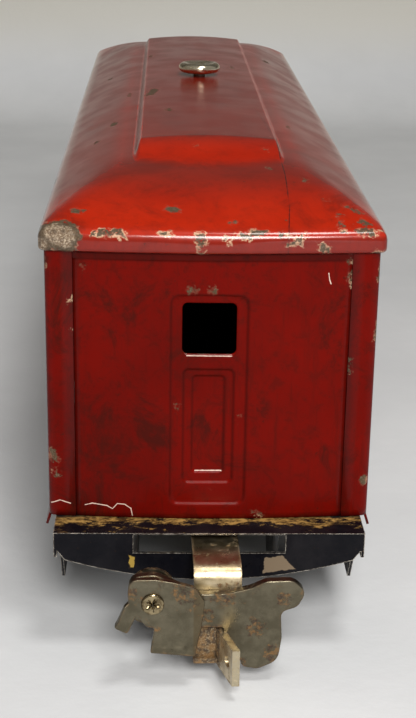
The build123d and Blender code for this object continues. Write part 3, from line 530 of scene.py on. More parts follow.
def rusty_nickel(name, dull, light):
    """Nickel plate with rust in specks, stains, clusters and along its edges."""
    s = Shader(name)
    tone = s.noise(0.3, 5.0, 0.65)
    plate = s.mix(s.ramp(tone, 0.3, 0.7), dull, light)
    fine = s.noise(2.2, 6.0, 0.75)
    broad = s.noise(0.22, 5.0, 0.7, distortion=0.8)
    specks = s.ramp(s.plus(fine, s.times(broad, 0.7)), 1.03, 1.11)
    stain = s.times(s.ramp(broad, 0.55, 0.65), s.ramp(s.noise(1.4, 6.0, 0.75), 0.42, 0.56))
    rust = s.mix(s.ramp(s.noise(0.9, 5.0), 0.40, 0.60), (0.040, 0.020, 0.010, 1), (0.19, 0.098, 0.030, 1))
    rim = s.times(s.edge(0.9), s.ramp(s.noise(0.7, 5.0), 0.40, 0.50))
    clusters = 0.0
    for centre, radius in RUST_SPOTS:
        clusters = s.most(s.spot(centre, radius, 1.3), clusters)
    clusters = s.times(clusters, s.ramp(s.noise(1.3, 6.0, 0.8), 0.44, 0.56))
    reach = s.off_middle("Y")
    across = s.times(s.along("X"), s.along("Y"), 1 / COUPLER_REACH)
    within = s.ramp(across, 3.4, 3.0)
    on_stop = s.times(s.ramp(across, -2.4, -2.0), within, s.ramp(s.along("Z"), 12.4, 11.6),
                      s.ramp(reach, 143.0, 142.4), s.ramp(fine, 0.30, 0.52))
    rusty = s.most(specks, stain, clusters, s.times(rim, 0.8), on_stop)
    tip = s.times(s.ramp(reach, 147.9, 148.5), s.ramp(fine, 0.62, 0.50))
    rusty = s.times(rusty, s.math("SUBTRACT", 1.0, tip))
    ahead = s.times(s.ramp(reach, 142.6, 143.4, 0.0, 0.55), s.ramp(across, -0.4, 0.0), within)
    plate = s.mix(ahead, plate, (0.105, 0.075, 0.038, 1))
    plate = s.mix(tip, plate, (0.46, 0.40, 0.28, 1))
    color = s.mix(s.times(rusty, 0.95), plate, rust)
    roughness = s.plus(s.ramp(s.noise(0.5, 5.0), 0.3, 0.7, 0.26, 0.44), s.times(rusty, 0.35))
    metallic = s.ramp(rusty, 0.0, 1.0, 0.97, 0.10)
    height = s.plus(s.times(rusty, 0.5), s.times(fine, 0.25))
    return s.finish(color=color, roughness=roughness, metallic=metallic, normal=s.bump(height, 0.05))


def bright_nickel(name, light, dull):
    """Polished plate with a few brown pits."""
    s = Shader(name)
    tone = s.ramp(s.noise(0.45, 5.0, 0.65), 0.38, 0.64)
    color = s.mix(tone, light, dull)
    pits = s.ramp(s.noise(1.8, 5.0, 0.7), 0.62, 0.70)
    color = s.mix(pits, color, (0.10, 0.07, 0.035, 1))
    roughness = s.plus(s.ramp(tone, 0, 1, 0.13, 0.30), s.times(pits, 0.4))
    height = s.math("SUBTRACT", s.times(s.noise(1.2, 3.0), 0.5), s.times(pits, 0.4))
    return s.finish(color=color, roughness=roughness, metallic=1.0, normal=s.bump(height, 0.05))


def browned_steel():
    s = Shader("browned_steel")
    tone = s.ramp(s.noise(0.4, 6.0, 0.7), 0.35, 0.65)
    color = s.mix(tone, (0.30, 0.27, 0.23, 1), (0.14, 0.08, 0.045, 1))
    return s.finish(color=color, roughness=s.ramp(tone, 0, 1, 0.32, 0.62),
                    metallic=s.ramp(tone, 0, 1, 0.9, 0.45), normal=s.bump(s.noise(1.8, 5.0), 0.04))


def wheel_metal():
    s = Shader("wheel_metal")
    grime = s.ramp(s.noise(0.5, 6.0, 0.7), 0.35, 0.7)
    black = s.mix(grime, (0.018, 0.018, 0.020, 1), (0.060, 0.050, 0.042, 1))
    edge = s.ramp(s.edge(0.5), 0.35, 0.6)
    rub = s.times(s.ramp(s.noise(1.2, 4.0), 0.35, 0.5), edge)
    color = s.mix(rub, black, (0.42, 0.39, 0.34, 1))
    roughness = s.ramp(grime, 0, 1, 0.34, 0.6)
    turning_marks = s.math("SINE", s.times(s.along("X"), 9.0))
    height = s.plus(s.times(s.noise(1.6, 4.0), 0.6), s.times(turning_marks, 0.1))
    return s.finish(color=color, roughness=roughness, metallic=s.times(rub, 0.9),
                    normal=s.bump(height, 0.05))


def dark_inside():
    s = Shader("dark_inside")
    tone = s.ramp(s.noise(0.15, 6.0, 0.7), 0.3, 0.7)
    color = s.mix(tone, (0.010, 0.008, 0.007, 1), (0.028, 0.020, 0.015, 1))
    return s.finish(color=color, roughness=s.ramp(tone, 0, 1, 0.6, 0.85),
                    normal=s.bump(s.noise(1.2, 4.0), 0.05))


def aged_celluloid():
    s = Shader("aged_celluloid")
    tone = s.ramp(s.noise(0.05, 5.0, 0.6), 0.3, 0.7)
    color = s.mix(tone, (0.42, 0.34, 0.17, 1), (0.22, 0.16, 0.07, 1))
    haze = s.ramp(s.noise(0.6, 6.0, 0.7), 0.35, 0.75, 0.08, 0.35)
    return s.finish(color=color, roughness=haze, alpha=s.ramp(tone, 0, 1, 0.72, 0.9),
                    normal=s.bump(s.noise(0.12, 3.0), 0.2))


def pale_paper(name, color_a, color_b):
    """Matt paper, warmer where it turns up, with painted shade dimming it above, seen from its front only.
    """
    s = Shader(name)
    paper = s.mix(s.ramp(s.noise(0.012, 4.0, 0.6), 0.3, 0.7), color_a, color_b)
    paper = s.mix(s.ramp(s.along("Z"), 20.0, 60.0), paper, (0.66, 0.65, 0.60, 1))
    # Painted shade: the wall dims to dark grey above
    paper = s.mix(s.ramp(s.along("Z"), 95.0, 215.0), paper, (0.16, 0.155, 0.145, 1))
    return s.finish(clear_behind=True, color=paper, roughness=0.55, normal=s.bump(s.noise(0.25, 3.0), 0.1))


ROOF_RED = worn_red("roof_red_enamel", (0.41, 0.017, 0.003, 1), (0.33, 0.012, 0.002, 1), 0.40, 0.14,
                    crack=ROOF_CRACK)
# Walls: the roof's red enamel with its tones painted darker as painted shade, and more heavily stained
SHADED_WALL_RED = worn_red("wall_red_enamel_shaded", (0.255, 0.0032, 0.0006, 1), (0.175, 0.0020, 0.0005, 1), 0.90, 0.04,
                    SCRATCHES_AND_LIP_HIGHLIGHTS)
BLACK = worn_black()
NICKEL = rusty_nickel("rusty_nickel_plate", (0.098, 0.086, 0.058, 1), (0.155, 0.137, 0.095, 1))
GOLDEN = rusty_nickel("golden_nickel_plate", (0.380, 0.290, 0.160, 1), (0.62, 0.52, 0.35, 1))
BRIGHT = bright_nickel("bright_nickel", (0.92, 0.83, 0.64, 1), (0.64, 0.54, 0.36, 1))
STAKED = bright_nickel("staked_nickel", (0.36, 0.29, 0.17, 1), (0.11, 0.080, 0.042, 1))
STEEL = browned_steel()
WHEEL = wheel_metal()
INSIDE = dark_inside()
CELLULOID = aged_celluloid()


def dress(obj, *materials):
    obj.data.materials.clear()
    for material in materials:
        obj.data.materials.append(material)


# ---------------------------------------------------------------- roof

def end_bow(x, half_width):
    return END_BOW * (1 - (x / half_width) ** 2)


def round_corners(u, v, half_u, half_v, radius):
    """Bend the square corners of a grid into round ones."""
    over_u = (np.abs(u) - (half_u - radius)) / radius
    over_v = (np.abs(v) - (half_v - radius)) / radius
    inside = (over_u > 0) & (over_v > 0)
    a = np.where(inside, over_u, 0)
    b = np.where(inside, over_v, 0)
    new_u = np.where(inside, np.sign(u) * (half_u - radius + radius * a * np.sqrt(1 - b * b / 2)), u)
    new_v = np.where(inside, np.sign(v) * (half_v - radius + radius * b * np.sqrt(1 - a * a / 2)), v)
    return new_u, new_v


def roof_height(x, inward):
    """Height of the roof's face, at a distance inward from its end."""
    rise = ROOF_CROWN_Z - RIM_HEAD_Z
    arch_radius = (ROOF_HALF_WIDTH ** 2 + rise ** 2) / (2 * rise)
    arch = ROOF_CROWN_Z - arch_radius + np.sqrt(arch_radius ** 2 - x ** 2)
    run = unit(1 - inward / ROOF_END_RUN)
    slope = RIM_HEAD_Z + (ROOF_END_Z - RIM_HEAD_Z) * (1 - run ** 1.9)
    main = smooth_min(arch, slope, 1.4)
    side_share = np.clip((np.abs(x) - CLERESTORY_HALF_WIDTH) / CLERESTORY_SIDE_RUN, 0, 4)
    front_share = np.clip((CLERESTORY_TOP_RUN - inward) / CLERESTORY_FRONT_RUN, 0, 4)
    share = (side_share ** 2.6 + front_share ** 2.6) ** (1 / 2.6)
    crown = CLERESTORY_CROWN_Z - (CLERESTORY_CROWN_Z - CLERESTORY_EDGE_Z) * (x / CLERESTORY_HALF_WIDTH) ** 2
    deck = crown - CLERESTORY_DROP * smooth_max(share, 0.0, 0.62)
    return smooth_max(main, deck, 0.7)


# Bare patches, each a rod as (start, run to its end, radius)
ROOF_PATCHES = (
    ((-28.4, -122.8, 81.2), (1.6, -0.6, -0.8), 2.9), ((-30.6, -121.4, 80), (-0.2, -0.8, -1.4), 2.3),
    ((-21.2, -123.4, 81), (2.8, -0.4, 0.2), 0.65), ((-17.6, -123.8, 81.8), (1.4, 0, -1.2), 0.55),
    ((-9.2, -124.6, 81.6), (1.6, -0.2, -0.2), 0.35), ((-25.4, -117.2, 84), (1.2, -0.2, 0), 0.75),
    ((-2.6, -125, 80.9), (0.4, -0.2, -1.1), 0.8), ((-2.2, -125.2, 77.9), (0.2, 0, -0.1), 0.5),
    ((2.2, -125, 80.8), (0.2, 0, -0.6), 0.4), ((5.2, -124.8, 81.2), (1.4, 0.2, -0.3), 0.55),
    ((6.8, -124.4, 81.9), (2, 0.2, -0.2), 0.6), ((12.2, -124.3, 81.4), (0.8, 0.1, -1), 0.45),
    ((13.4, -124.2, 79.9), (2.8, 0.2, 0.7), 0.65), ((23, -120.4, 82.9), (0.6, -2.4, -1.5), 0.55),
    ((23.2, -118, 83.8), (0.1, -0.4, -0.2), 0.5), ((26.8, -122.4, 81.5), (1.8, 0, -0.3), 0.9),
    ((27, -120, 82.6), (1, -0.6, -0.2), 0.7), ((29.8, -122, 80.8), (1, 0.4, -0.2), 0.6),
    ((19.8, -124, 78.9), (0.4, 0.1, -0.6), 0.8), ((29.8, -122.8, 77.9), (1, 0.6, 0), 0.5),
    ((24.6, -114.6, 85), (2.6, -2, -1.2), 0.55), ((20.6, -113, 86), (0.8, -0.4, -0.2), 0.6),
    ((18.2, -116, 85.6), (0.1, -0.4, -0.2), 0.5), ((-7.7, -117, 84.8), (0.8, -0.6, -0.2), 1.15),
    ((3.2, -121.4, 82.8), (0.6, 0, 0), 0.4), ((-11.2, -20, 91.8), (-1.5, -9, 0), 1.25),
    ((-8.2, -50.2, 92), (0.4, -3, 0), 1), ((-11.3, -73, 91.8), (0.2, -0.6, 0), 0.5),
    ((12.6, -80.4, 90.6), (0.2, -0.4, -0.2), 0.4), ((18, -103.6, 87.7), (0.2, -1.2, -0.3), 0.65),
    ((11.5, -89, 90.5), (0.2, -1, -0.1), 0.65), ((-2.8, -88.6, 91), (0.2, -0.6, 0), 0.45),
    ((11.5, -98, 88.2), (0.2, -0.6, -0.1), 0.55), ((14.6, -42, 90.6), (0.4, -4, 0), 0.75),
    ((19, -50, 88.4), (0.2, -4, 0), 0.8), ((-20.4, -46, 87.8), (-0.2, -4, 0), 0.9),
    ((-17.8, -8, 88.8), (-0.2, -5, 0), 0.9), ((-23.6, -62, 86), (-0.2, -2, 0), 0.7),
    ((9.2, 20, 92), (0.2, -6, 0), 0.8), ((-13, 40, 91.6), (0, 1, 0), 1.2),
    ((21, 60, 86.6), (0.6, 3, -0.2), 1), ((-24, 30, 85.6), (0, 1, 0), 0.9),
    ((6, 124.8, 81.2), (4, -0.2, 0), 0.8), ((-27, 122.8, 81.2), (-2, -0.4, -0.6), 1.5),
    ((28, 122.8, 81.2), (2.6, -1, -1), 1), ((-12, 124.6, 80.8), (-4, -0.4, 0.4), 0.7),
    ((31.7, -60, 81), (0, 4, 0), 0.8), ((31.7, 14, 80.6), (0, 5, 0.6), 0.7), ((31.7, 92, 81), (0, 3, 0), 1),
    ((-31.7, -84, 81), (0, 4, 0), 0.9), ((-31.7, 40, 81), (0, 7, -0.2), 0.8),
    ((-31.7, 104, 80), (0, 2, 0.6), 0.8),
)


def build_roof():
    """One pressed shell: a height field with a bowed plan and a rim turned down all round."""
    half_width = ROOF_HALF_WIDTH
    half_length = ROOF_CORNER_Y
    xs = grid_lines(-half_width, half_width, 1.0, (
        (-half_width, 1.3, 0.16), (half_width, 1.3, 0.16), (-14.2, 1.3, 0.18), (14.2, 1.3, 0.18)))
    fine_run = CLERESTORY_TOP_RUN + 3
    middle = grid_lines(-half_length + fine_run, half_length - fine_run, 2.5)
    near = grid_lines(-half_length, -half_length + fine_run, 0.7, ((-half_length, 1.3, 0.16),))
    vs = np.concatenate([near, middle[1:-1], -near[::-1]])
    u, v = np.meshgrid(xs, vs)
    u, v = u.ravel(), v.ravel()
    inward = half_length - np.abs(v)
    edge = np.minimum(half_width - np.abs(u), inward)
    fold = np.clip(RIM_FOLD - edge, 0, RIM_FOLD)
    drop = RIM_FOLD - np.sqrt(RIM_FOLD ** 2 - fold ** 2)
    z = roof_height(u, inward) - drop + wobble(u, v, 0.03) * unit(edge / 6)
    x, w = round_corners(u, v, half_width, half_length, ROOF_PLAN_RADIUS)
    y = w * (1 + end_bow(x, half_width) / half_length)
    points = np.column_stack([x, y, z])
    faces = grid_faces(xs, vs, lambda u, v: True)
    previous = [j * len(xs) + i for i, j in grid_loop(0, len(xs) - 1, 0, len(vs) - 1)]
    rim = points[previous]
    all_points = [points]
    wear = [np.where(edge < 2.2, 0.58 * (1 - np.abs(edge - 0.5) / 2.2), 0.0)]
    count = len(points)
    rim_height = RIM_HEAD_Z - RIM_FOLD - RIM_FOOT_Z
    for depth, inset in ((0.4, 0.0), (1.0, 0.0), (1.7, 0.0), (2.2, 0.03), (rim_height, 0.18)):
        ring = rim.copy()
        ring[:, 2] = RIM_HEAD_Z - RIM_FOLD - depth
        ring[:, :2] *= 1 - (inset + wobble(rim[:, 0], rim[:, 1], 0.04, 1.0)[:, None]) / half_width
        current = range(count, count + len(rim))
        faces += strip_faces(current, previous)
        all_points.append(ring)
        wear.append(np.full(len(rim), 0.30 + 0.22 * (depth == rim_height)))
        count += len(rim)
        previous = current
    points = np.vstack(all_points)
    roof = mesh_object("worn_roof", points, faces)
    store(roof, "wear", np.concatenate(wear))
    from_foot = np.abs(np.abs(points[:, 0]) - CLERESTORY_HALF_WIDTH - 0.8)
    on_flank = (points[:, 2] > 88.5) & (np.abs(points[:, 1]) < ROOF_CORNER_Y - CLERESTORY_TOP_RUN + 6)
    store(roof, "foot", unit(1.3 - from_foot / 0.45) * on_flank)
    store(roof, "bare", patch_field(points, ROOF_PATCHES))
    solidify(roof, SHEET)
    dress(roof, ROOF_RED, INSIDE)
    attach(roof, "roof_lid")
    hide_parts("roof")


# ---------------------------------------------------------------- pressed body sheets

def pressed_sheet(name, us, vs, place, depth, windows, keep=lambda u, v: True):
    """Sheet drawn on a grid of (u, v), with windows as (centre u, half width, foot, head, radius).

    place turns (u, v, depth) into points, and depth says how far in the face is pressed."""
    u, v = np.meshgrid(us, vs)
    u, v = u.ravel(), v.ravel()
    points = [place(u, v, depth(u, v))]
    count = len(u)
    cuts = [(centre - half - WINDOW_MARGIN, centre + half + WINDOW_MARGIN,
             foot - WINDOW_MARGIN, head + WINDOW_MARGIN) for centre, half, foot, head, _ in windows]

    def whole(u, v):
        return keep(u, v) and not any(u0 < u < u1 and v0 < v < v1 for u0, u1, v0, v1 in cuts)

    faces = grid_faces(us, vs, whole)
    for (centre, half, foot, head, radius), (u0, u1, v0, v1) in zip(windows, cuts):
        i0, i1 = np.argmin(np.abs(us - u0)), np.argmin(np.abs(us - u1))
        j0, j1 = np.argmin(np.abs(vs - v0)), np.argmin(np.abs(vs - v1))
        loop = grid_loop(i0, i1, j0, j1)
        previous = [j * len(us) + i for i, j in loop]
        outer = np.array([(us[i], vs[j]) for i, j in loop])
        half_v = (head - foot) / 2
        middle_v = (head + foot) / 2
        across = (outer[:, 0] - centre) / (half + WINDOW_MARGIN) * half
        upright = (outer[:, 1] - middle_v) / (half_v + WINDOW_MARGIN) * half_v
        across, upright = round_corners(across, upright, half, half_v, radius)
        inner = np.column_stack([centre + across, middle_v + upright])
        for share, sink in ((0.5, 0.0), (0.8, 0.03), (0.93, 0.10), (1.0, 0.24)):
            ring = outer * (1 - share) + inner * share
            ring_depth = depth(ring[:, 0], ring[:, 1]) + sink
            points.append(place(ring[:, 0], ring[:, 1], ring_depth))
            current = range(count, count + len(loop))
            faces += strip_faces(previous, current)
            count += len(loop)
            previous = current
    return mesh_object(name, np.vstack(points), faces)


def recess_lines(low, high):
    """Close grid lines about both edges of a recess."""
    return [(edge, 0.75, 0.25) for edge in (low, high)]


def door_lines(door, centre):
    """Close grid lines across and up a door."""
    across, upright = [], []
    for half_width, foot, head, _ in door:
        across += recess_lines(centre - half_width, centre + half_width)
        upright += recess_lines(foot, head)
    return across, upright


def door_depth(u, v, door, centre, arch=0.0):
    """How far a door's nested recesses press the face in; arch lowers its outer head's corners."""
    pressed = 0.0
    for index, (half_width, foot, head, radius) in enumerate(door):
        arched_head = head - arch * ((u - centre) / half_width) ** 2 * (index == 0)
        away = box_distance(u, v, half_width, foot, arched_head, radius, centre)
        pressed = pressed + PRESS_DEPTH * smooth_step(0.5 - away / PRESS_WALL)
    return pressed


def door_edge(u, v, door, centre):
    """Distance to the nearest edge of a door's recesses."""
    return np.min([np.abs(box_distance(u, v, *recess, centre)) for recess in door], axis=0)


def window_marks(low, high, radius):
    """Exact grid lines for a window's cut and its corners."""
    centre, half = (low + high) / 2, (high - low) / 2
    scale = (half + WINDOW_MARGIN) / half
    backs = (0, 0.3, 0.6, 0.85, 1.0)
    return [centre + side * (half - back * radius) * scale for side in (-1, 1) for back in backs]


END_PATCHES = (
    ((-23.6, -123, 74.7), (0.1, 0, -0.4), 0.3), ((0.1, -124, 70.9), (0.2, 0, -0.6), 0.45),
    ((-4, -124, 70.6), (1, 0, 0.2), 0.4), ((-6.1, -124, 48.8), (0, 0, -2), 0.32),
    ((5.6, -124, 45.8), (0, 0, -0.8), 0.32), ((25.1, -122.8, 76.8), (0.2, 0, -5), 0.3),
    ((-0.6, -124.2, 30.6), (3.2, 0, 0), 0.15), ((8.4, -124, 26), (2.2, 0, -0.4), 0.35),
    ((-20, 123.2, 64), (0.6, 0, -3), 0.6), ((12, 123.7, 52), (0.4, 0, -2), 0.8),
    ((15, 123.4, 27), (5, -0.4, -1), 0.6),
)


def build_end_panel(end):
    """Bowed end sheet between the two corner strips, with its pressed door and open window."""
    turn = 1 if end == "front" else -1
    edge_x = STRIP_EDGE_X - SEAM_GAP
    half_width, foot, head, radius = END_DOOR_WINDOW
    across, upright = door_lines(END_DOOR, END_DOOR_X)
    marks = window_marks(END_DOOR_X - half_width, END_DOOR_X + half_width, radius)
    us = grid_lines(-edge_x, edge_x, 1.2, across, marks)
    details = [(HEADER_Z, 0.6, 0.15), *upright]
    vs = grid_lines(BODY_FOOT_Z, BODY_TOP_Z, 1.2, details, window_marks(foot, head, radius))

    def depth(u, v):
        pressed = door_depth(u, v, END_DOOR, END_DOOR_X, END_DOOR_ARCH)
        header = HEADER_STEP * smooth_step(0.5 - (v - HEADER_Z) / 0.5)
        flat = unit((v - BODY_FOOT_Z) / 8) * unit((BODY_TOP_Z - v) / 8)
        return pressed + header + 0.02 + wobble(u, v, 0.16, 2.0 if turn > 0 else 5.0) * flat

    def place(u, v, pressed):
        y = -(BODY_CORNER_Y + end_bow(u, BODY_HALF_WIDTH)) + pressed
        return np.column_stack([turn * u, turn * y, v])

    panel = pressed_sheet(end + "_end_sheet", us, vs, place, depth, [(END_DOOR_X, *END_DOOR_WINDOW)])
    points = points_of(panel)
    x, _, z = points.T
    foot_wear = 0.5 * unit(1 - (z - BODY_FOOT_Z) / 1.6)
    seam_wear = 0.42 * unit(1 - (edge_x - np.abs(x)) / 0.8)
    window_away = box_distance(x, z, *END_DOOR_WINDOW, turn * END_DOOR_X)
    lip_wear = 0.85 * (window_away < 0.12) * (z < END_DOOR_WINDOW[1] + 0.4)
    store(panel, "wear", np.max([foot_wear, seam_wear, lip_wear], axis=0))
    store(panel, "bare", patch_field(points, END_PATCHES))
    # Painted shade along the door's pressed edges and the header step, painted shadow under the roof's
    # eaves, and dark seams at the strips
    pressed_edge = door_edge(x, z, END_DOOR, turn * END_DOOR_X)
    pressed_edge = np.min([pressed_edge, np.abs(z - HEADER_Z), edge_x - np.abs(x)], axis=0)
    eave_shadow = unit((z - RIM_FOOT_Z + 1.9) / 0.7)
    store(panel, "seam_and_crease_shade", np.maximum(unit(1 - pressed_edge / 0.45) * 0.5, eave_shadow * 0.7))
    solidify(panel, SHEET)
    dress(panel, SHADED_WALL_RED, INSIDE)
    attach(panel, "coach_body")
    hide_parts(end + "_end_panel")


def side_outline(s, half_width):
    """Plan point and outward normal at a developed length s from the middle of a wall."""
    radius = BODY_CORNER_RADIUS
    centre_x = half_width - radius
    end_angle = math.radians(82.9)
    touch_x = centre_x + radius * math.cos(end_angle)
    touch_y = BODY_CORNER_Y + end_bow(touch_x, half_width)
    centre_y = touch_y - radius * math.sin(end_angle)
    side = np.sign(s)
    length = np.abs(s)
    angle = np.clip((length - centre_y) / radius, 0, end_angle)
    past = np.clip(length - centre_y - radius * end_angle, 0, None)
    x = np.where(length <= centre_y, half_width, centre_x + radius * np.cos(angle))
    y = np.where(length <= centre_y, length, centre_y + radius * np.sin(angle))
    strip_x = touch_x - past
    x = np.where(past > 0, strip_x, x)
    y = np.where(past > 0, BODY_CORNER_Y + end_bow(strip_x, half_width), y)
    normal_x = np.where(past > 0, math.cos(end_angle), np.cos(angle))
    normal_y = np.where(past > 0, math.sin(end_angle), np.sin(angle))
    reach = centre_y + radius * end_angle + (touch_x - STRIP_EDGE_X)
    return x, side * y, normal_x, side * normal_y, reach


SIDE_PATCHES = (
    ((30.8, -121, 75), (-0.2, -0.6, -2), 0.5), ((26, -122.6, 57), (0, 0, -2), 0.5),
    ((30.8, -121.4, 64), (0, 0, -4), 0.5), ((29.6, -122.2, 32.8), (0.2, 0, -1), 0.5),
    ((26.6, 122.8, 69), (0.1, 0, -1.4), 0.45), ((26.8, 122.7, 62.6), (0.1, 0, -1.2), 0.55),
    ((29.9, 122.3, 38.2), (-0.1, 0, -0.8), 0.45), ((29.5, 122.4, 36.4), (0.1, 0, -0.4), 0.45),
    ((29, 122.4, 33.4), (0.4, 0, -0.2), 0.55), ((30.8, 121.6, 75.6), (0, -0.2, -1.2), 0.5),
    ((30.8, -60, 52), (0, 2, -2), 1), ((30.8, 30, 30), (0, 4, -1), 1.2), ((30.8, 86, 70), (0, 2, 1), 1.4),
    ((30.8, -30, 72), (0, 4, 0.5), 0.9), ((30.8, 118, 40), (0, 2, -4), 1.1),
    ((31.2, -96, 23.4), (0, 12, -0.2), 0.8), ((31.2, 10, 23.2), (0, 16, 0.2), 0.8),
)


def build_side(side):
    """Wall sheet that wraps round both corners as strips, with doors, windows and a flared skirt."""
    turn = 1 if side == "right" else -1
    reach = side_outline(np.array([0.0]), BODY_HALF_WIDTH)[4]
    half, foot, head, _ = SIDE_WINDOW
    frame_half = half + SIDE_WINDOW_FRAME
    frame_foot, frame_head = foot - SIDE_WINDOW_FRAME, head + SIDE_WINDOW_FRAME
    middle = (SIDE_WINDOW_COUNT - 1) / 2
    places = [(index - middle) * SIDE_WINDOW_PITCH for index in range(SIDE_WINDOW_COUNT)]
    doors = (-SIDE_DOOR_Y, SIDE_DOOR_Y)
    windows = [(place_y, *SIDE_WINDOW) for place_y in places]
    windows += [(door, *SIDE_DOOR_WINDOW) for door in doors]
    marks = [-SKIRT_HALF_LENGTH, SKIRT_HALF_LENGTH]
    for centre, half, _, _, radius in windows:
        marks += window_marks(centre - half, centre + half, radius)
    details = [(corner * (BODY_CORNER_Y + 0.1), 1.5, 0.3) for corner in (-1, 1)]
    for door in doors:
        across, upright = door_lines(SIDE_DOOR, door)
        details += across
    for place_y in places:
        details += recess_lines(place_y - frame_half, place_y + frame_half)
    us = grid_lines(-reach, reach, 2.4, details, marks)
    marks = [BODY_FOOT_Z]
    for _, foot, head, radius in (SIDE_DOOR_WINDOW, SIDE_WINDOW):
        marks += window_marks(foot, head, radius)
    details = [(BELT_RAIL_Z, 0.9, 0.2), *upright, *recess_lines(frame_foot, frame_head)]
    vs = grid_lines(SKIRT_FOOT_Z, BODY_TOP_Z, 2.0, details, marks)

    def depth(u, v):
        pressed = sum(door_depth(u, v, SIDE_DOOR, door) for door in doors)
        for place_y in places:
            away = box_distance(u, v, frame_half, frame_foot, frame_head, SIDE_WINDOW_FRAME_RADIUS,
                                place_y)
            pressed = pressed + SIDE_WINDOW_FRAME_DEPTH * smooth_step(0.5 - away / PRESS_WALL)
        on_rail = np.abs(u) < BELT_RAIL_HALF_LENGTH
        rail = np.sqrt(np.clip(BELT_RAIL_RADIUS ** 2 - (v - BELT_RAIL_Z) ** 2, 0, None))
        uneven = wobble(u, v, 0.16, 0.7 if turn > 0 else 3.1) * unit((118 - np.abs(u)) / 10)
        return pressed - rail * on_rail + uneven

    def place(u, v, pressed):
        x, y, normal_x, normal_y, _ = side_outline(u, BODY_HALF_WIDTH)
        flare = SKIRT_FLARE * unit((BODY_FOOT_Z - v) / (BODY_FOOT_Z - SKIRT_FOOT_Z)) ** 1.2
        out = flare - pressed
        return np.column_stack([turn * (x + out * normal_x), turn * (y + out * normal_y), v])

    def keep(u, v):
        return v > BODY_FOOT_Z or abs(u) < SKIRT_HALF_LENGTH

    wall = pressed_sheet(side + "_side_sheet", us, vs, place, depth, windows, keep)
    points = points_of(wall)
    x, y, z = np.abs(points.T)
    foot_wear = 0.55 * unit(1 - (z - SKIRT_FOOT_Z) / 1.5)
    at_end = y > BODY_CORNER_Y - 0.2
    seam_wear = 0.45 * unit(1 - (x - STRIP_EDGE_X) / 0.9) * at_end
    corner_wear = 0.40 * unit(1 - np.hypot(x - BODY_HALF_WIDTH, y - BODY_CORNER_Y) / 1.6)
    store(wall, "wear", np.max([foot_wear, seam_wear, corner_wear], axis=0))
    store(wall, "bare", patch_field(points * (turn, turn, 1), SIDE_PATCHES))
    # Painted shade along the doors' pressed edges, and dark seams at the corner strips
    seam_away = np.where(at_end, np.abs(x - STRIP_EDGE_X), 9.0)
    away = np.minimum(door_edge(y, z, SIDE_DOOR, SIDE_DOOR_Y), seam_away)
    store(wall, "seam_and_crease_shade", unit(1 - away / 0.45) * 0.5)
    solidify(wall, SHEET)
    dress(wall, SHADED_WALL_RED, INSIDE)
    remove_loose(wall)
    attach(wall, "coach_body")
    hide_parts(side + "_side")


def remove_loose(obj):
    """Drop grid points that no face uses."""
    mesh = obj.data
    used = np.zeros(len(mesh.vertices), bool)
    for polygon in mesh.polygons:
        used[list(polygon.vertices)] = True
    work = bmesh.new()
    work.from_mesh(mesh)
    work.verts.ensure_lookup_table()
    loose = [work.verts[k] for k in np.flatnonzero(~used)]
    bmesh.ops.delete(work, geom=loose, context="VERTS")
    work.to_mesh(mesh)
    work.free()


# ---------------------------------------------------------------- couplers and knob

def filleted(corners, steps=6):
    """Outline through (x, z, radius) corners, each rounded with its own radius."""
    outline = []
    count = len(corners)
    for index in range(count):
        x, z, radius = corners[index]
        here = np.array([x, z])
        before = np.array(corners[index - 1][:2]) - here
        after = np.array(corners[(index + 1) % count][:2]) - here
        reach_before, reach_after = np.linalg.norm(before), np.linalg.norm(after)
        before, after = before / reach_before, after / reach_after
        half_angle = math.acos(float(np.clip(before @ after, -1, 1))) / 2
        run = min(radius / math.tan(half_angle), 0.48 * reach_before, 0.48 * reach_after)
        start, end = here + before * run, here + after * run
        for step in range(steps + 1):
            t = step / steps
            outline.append((1 - t) ** 2 * start + 2 * t * (1 - t) * here + t * t * end)
    return outline


def on_coupler(points, end):
    """Turn front-coupler points to where the coupler rests at either end."""
    angle = REST_SWING
    x = points[:, 0]
    y = points[:, 1] - KINGPIN_Y
    turned_x = x * math.cos(angle) - y * math.sin(angle)
    turned_y = x * math.sin(angle) + y * math.cos(angle) + KINGPIN_Y
    turn = 1 if end == "front" else -1
    return np.column_stack([turn * turned_x, turn * turned_y, points[:, 2]])


def stamped_plate(name, outline, back_y, thickness, end, shape=None, cuts=(), rounding=0.4):
    """Plate with rounded edges; shape(x, z) gives how far forward each point is bent."""
    work = bmesh.new()
    corners = [work.verts.new((x, 0.0, z)) for x, z in outline]
    work.faces.new(corners)
    for place, normal in cuts:
        geometry = work.verts[:] + work.edges[:] + work.faces[:]
        bmesh.ops.bisect_plane(work, geom=geometry, dist=0.001, plane_co=place, plane_no=normal)
    points = np.array([vertex.co for vertex in work.verts])
    forward = shape(points[:, 0], points[:, 2]) if shape else 0.0
    points[:, 1] = back_y - forward
    points = on_coupler(points, end) * MM
    for vertex, point in zip(work.verts, points):
        vertex.co = point
    work.normal_update()
    away = Vector((0, -1 if end == "front" else 1, 0))
    if sum(face.normal.dot(away) * face.calc_area() for face in work.faces) < 0:
        bmesh.ops.reverse_faces(work, faces=work.faces[:])
    mesh = bpy.data.meshes.new(name)
    work.to_mesh(mesh)
    work.free()
    mesh.shade_smooth()
    obj = add_object(name, mesh)
    solidify(obj, thickness, 1.0, True, 0)
    round_edges(obj, rounding, 3, 50, True)
    dress(obj, NICKEL)
    return obj


def lathe(name, profile, place, end, bump, segments):
    """Turned piece along Y from (radius, y) profile; bump(radius, angle) moves points forward."""
    points = []
    for radius, y in profile:
        for k in range(segments):
            angle = 2 * math.pi * k / segments
            forward = bump(radius, angle)
            x, z = radius * math.cos(angle), radius * math.sin(angle)
            points.append((place[0] + x, y - forward, place[1] + z))
    last = len(points) - segments
    faces = tube_faces(len(profile), segments)
    faces += [tuple(range(segments)), tuple(range(len(points) - 1, last - 1, -1))]
    return mesh_object(name, on_coupler(np.array(points), end), faces)


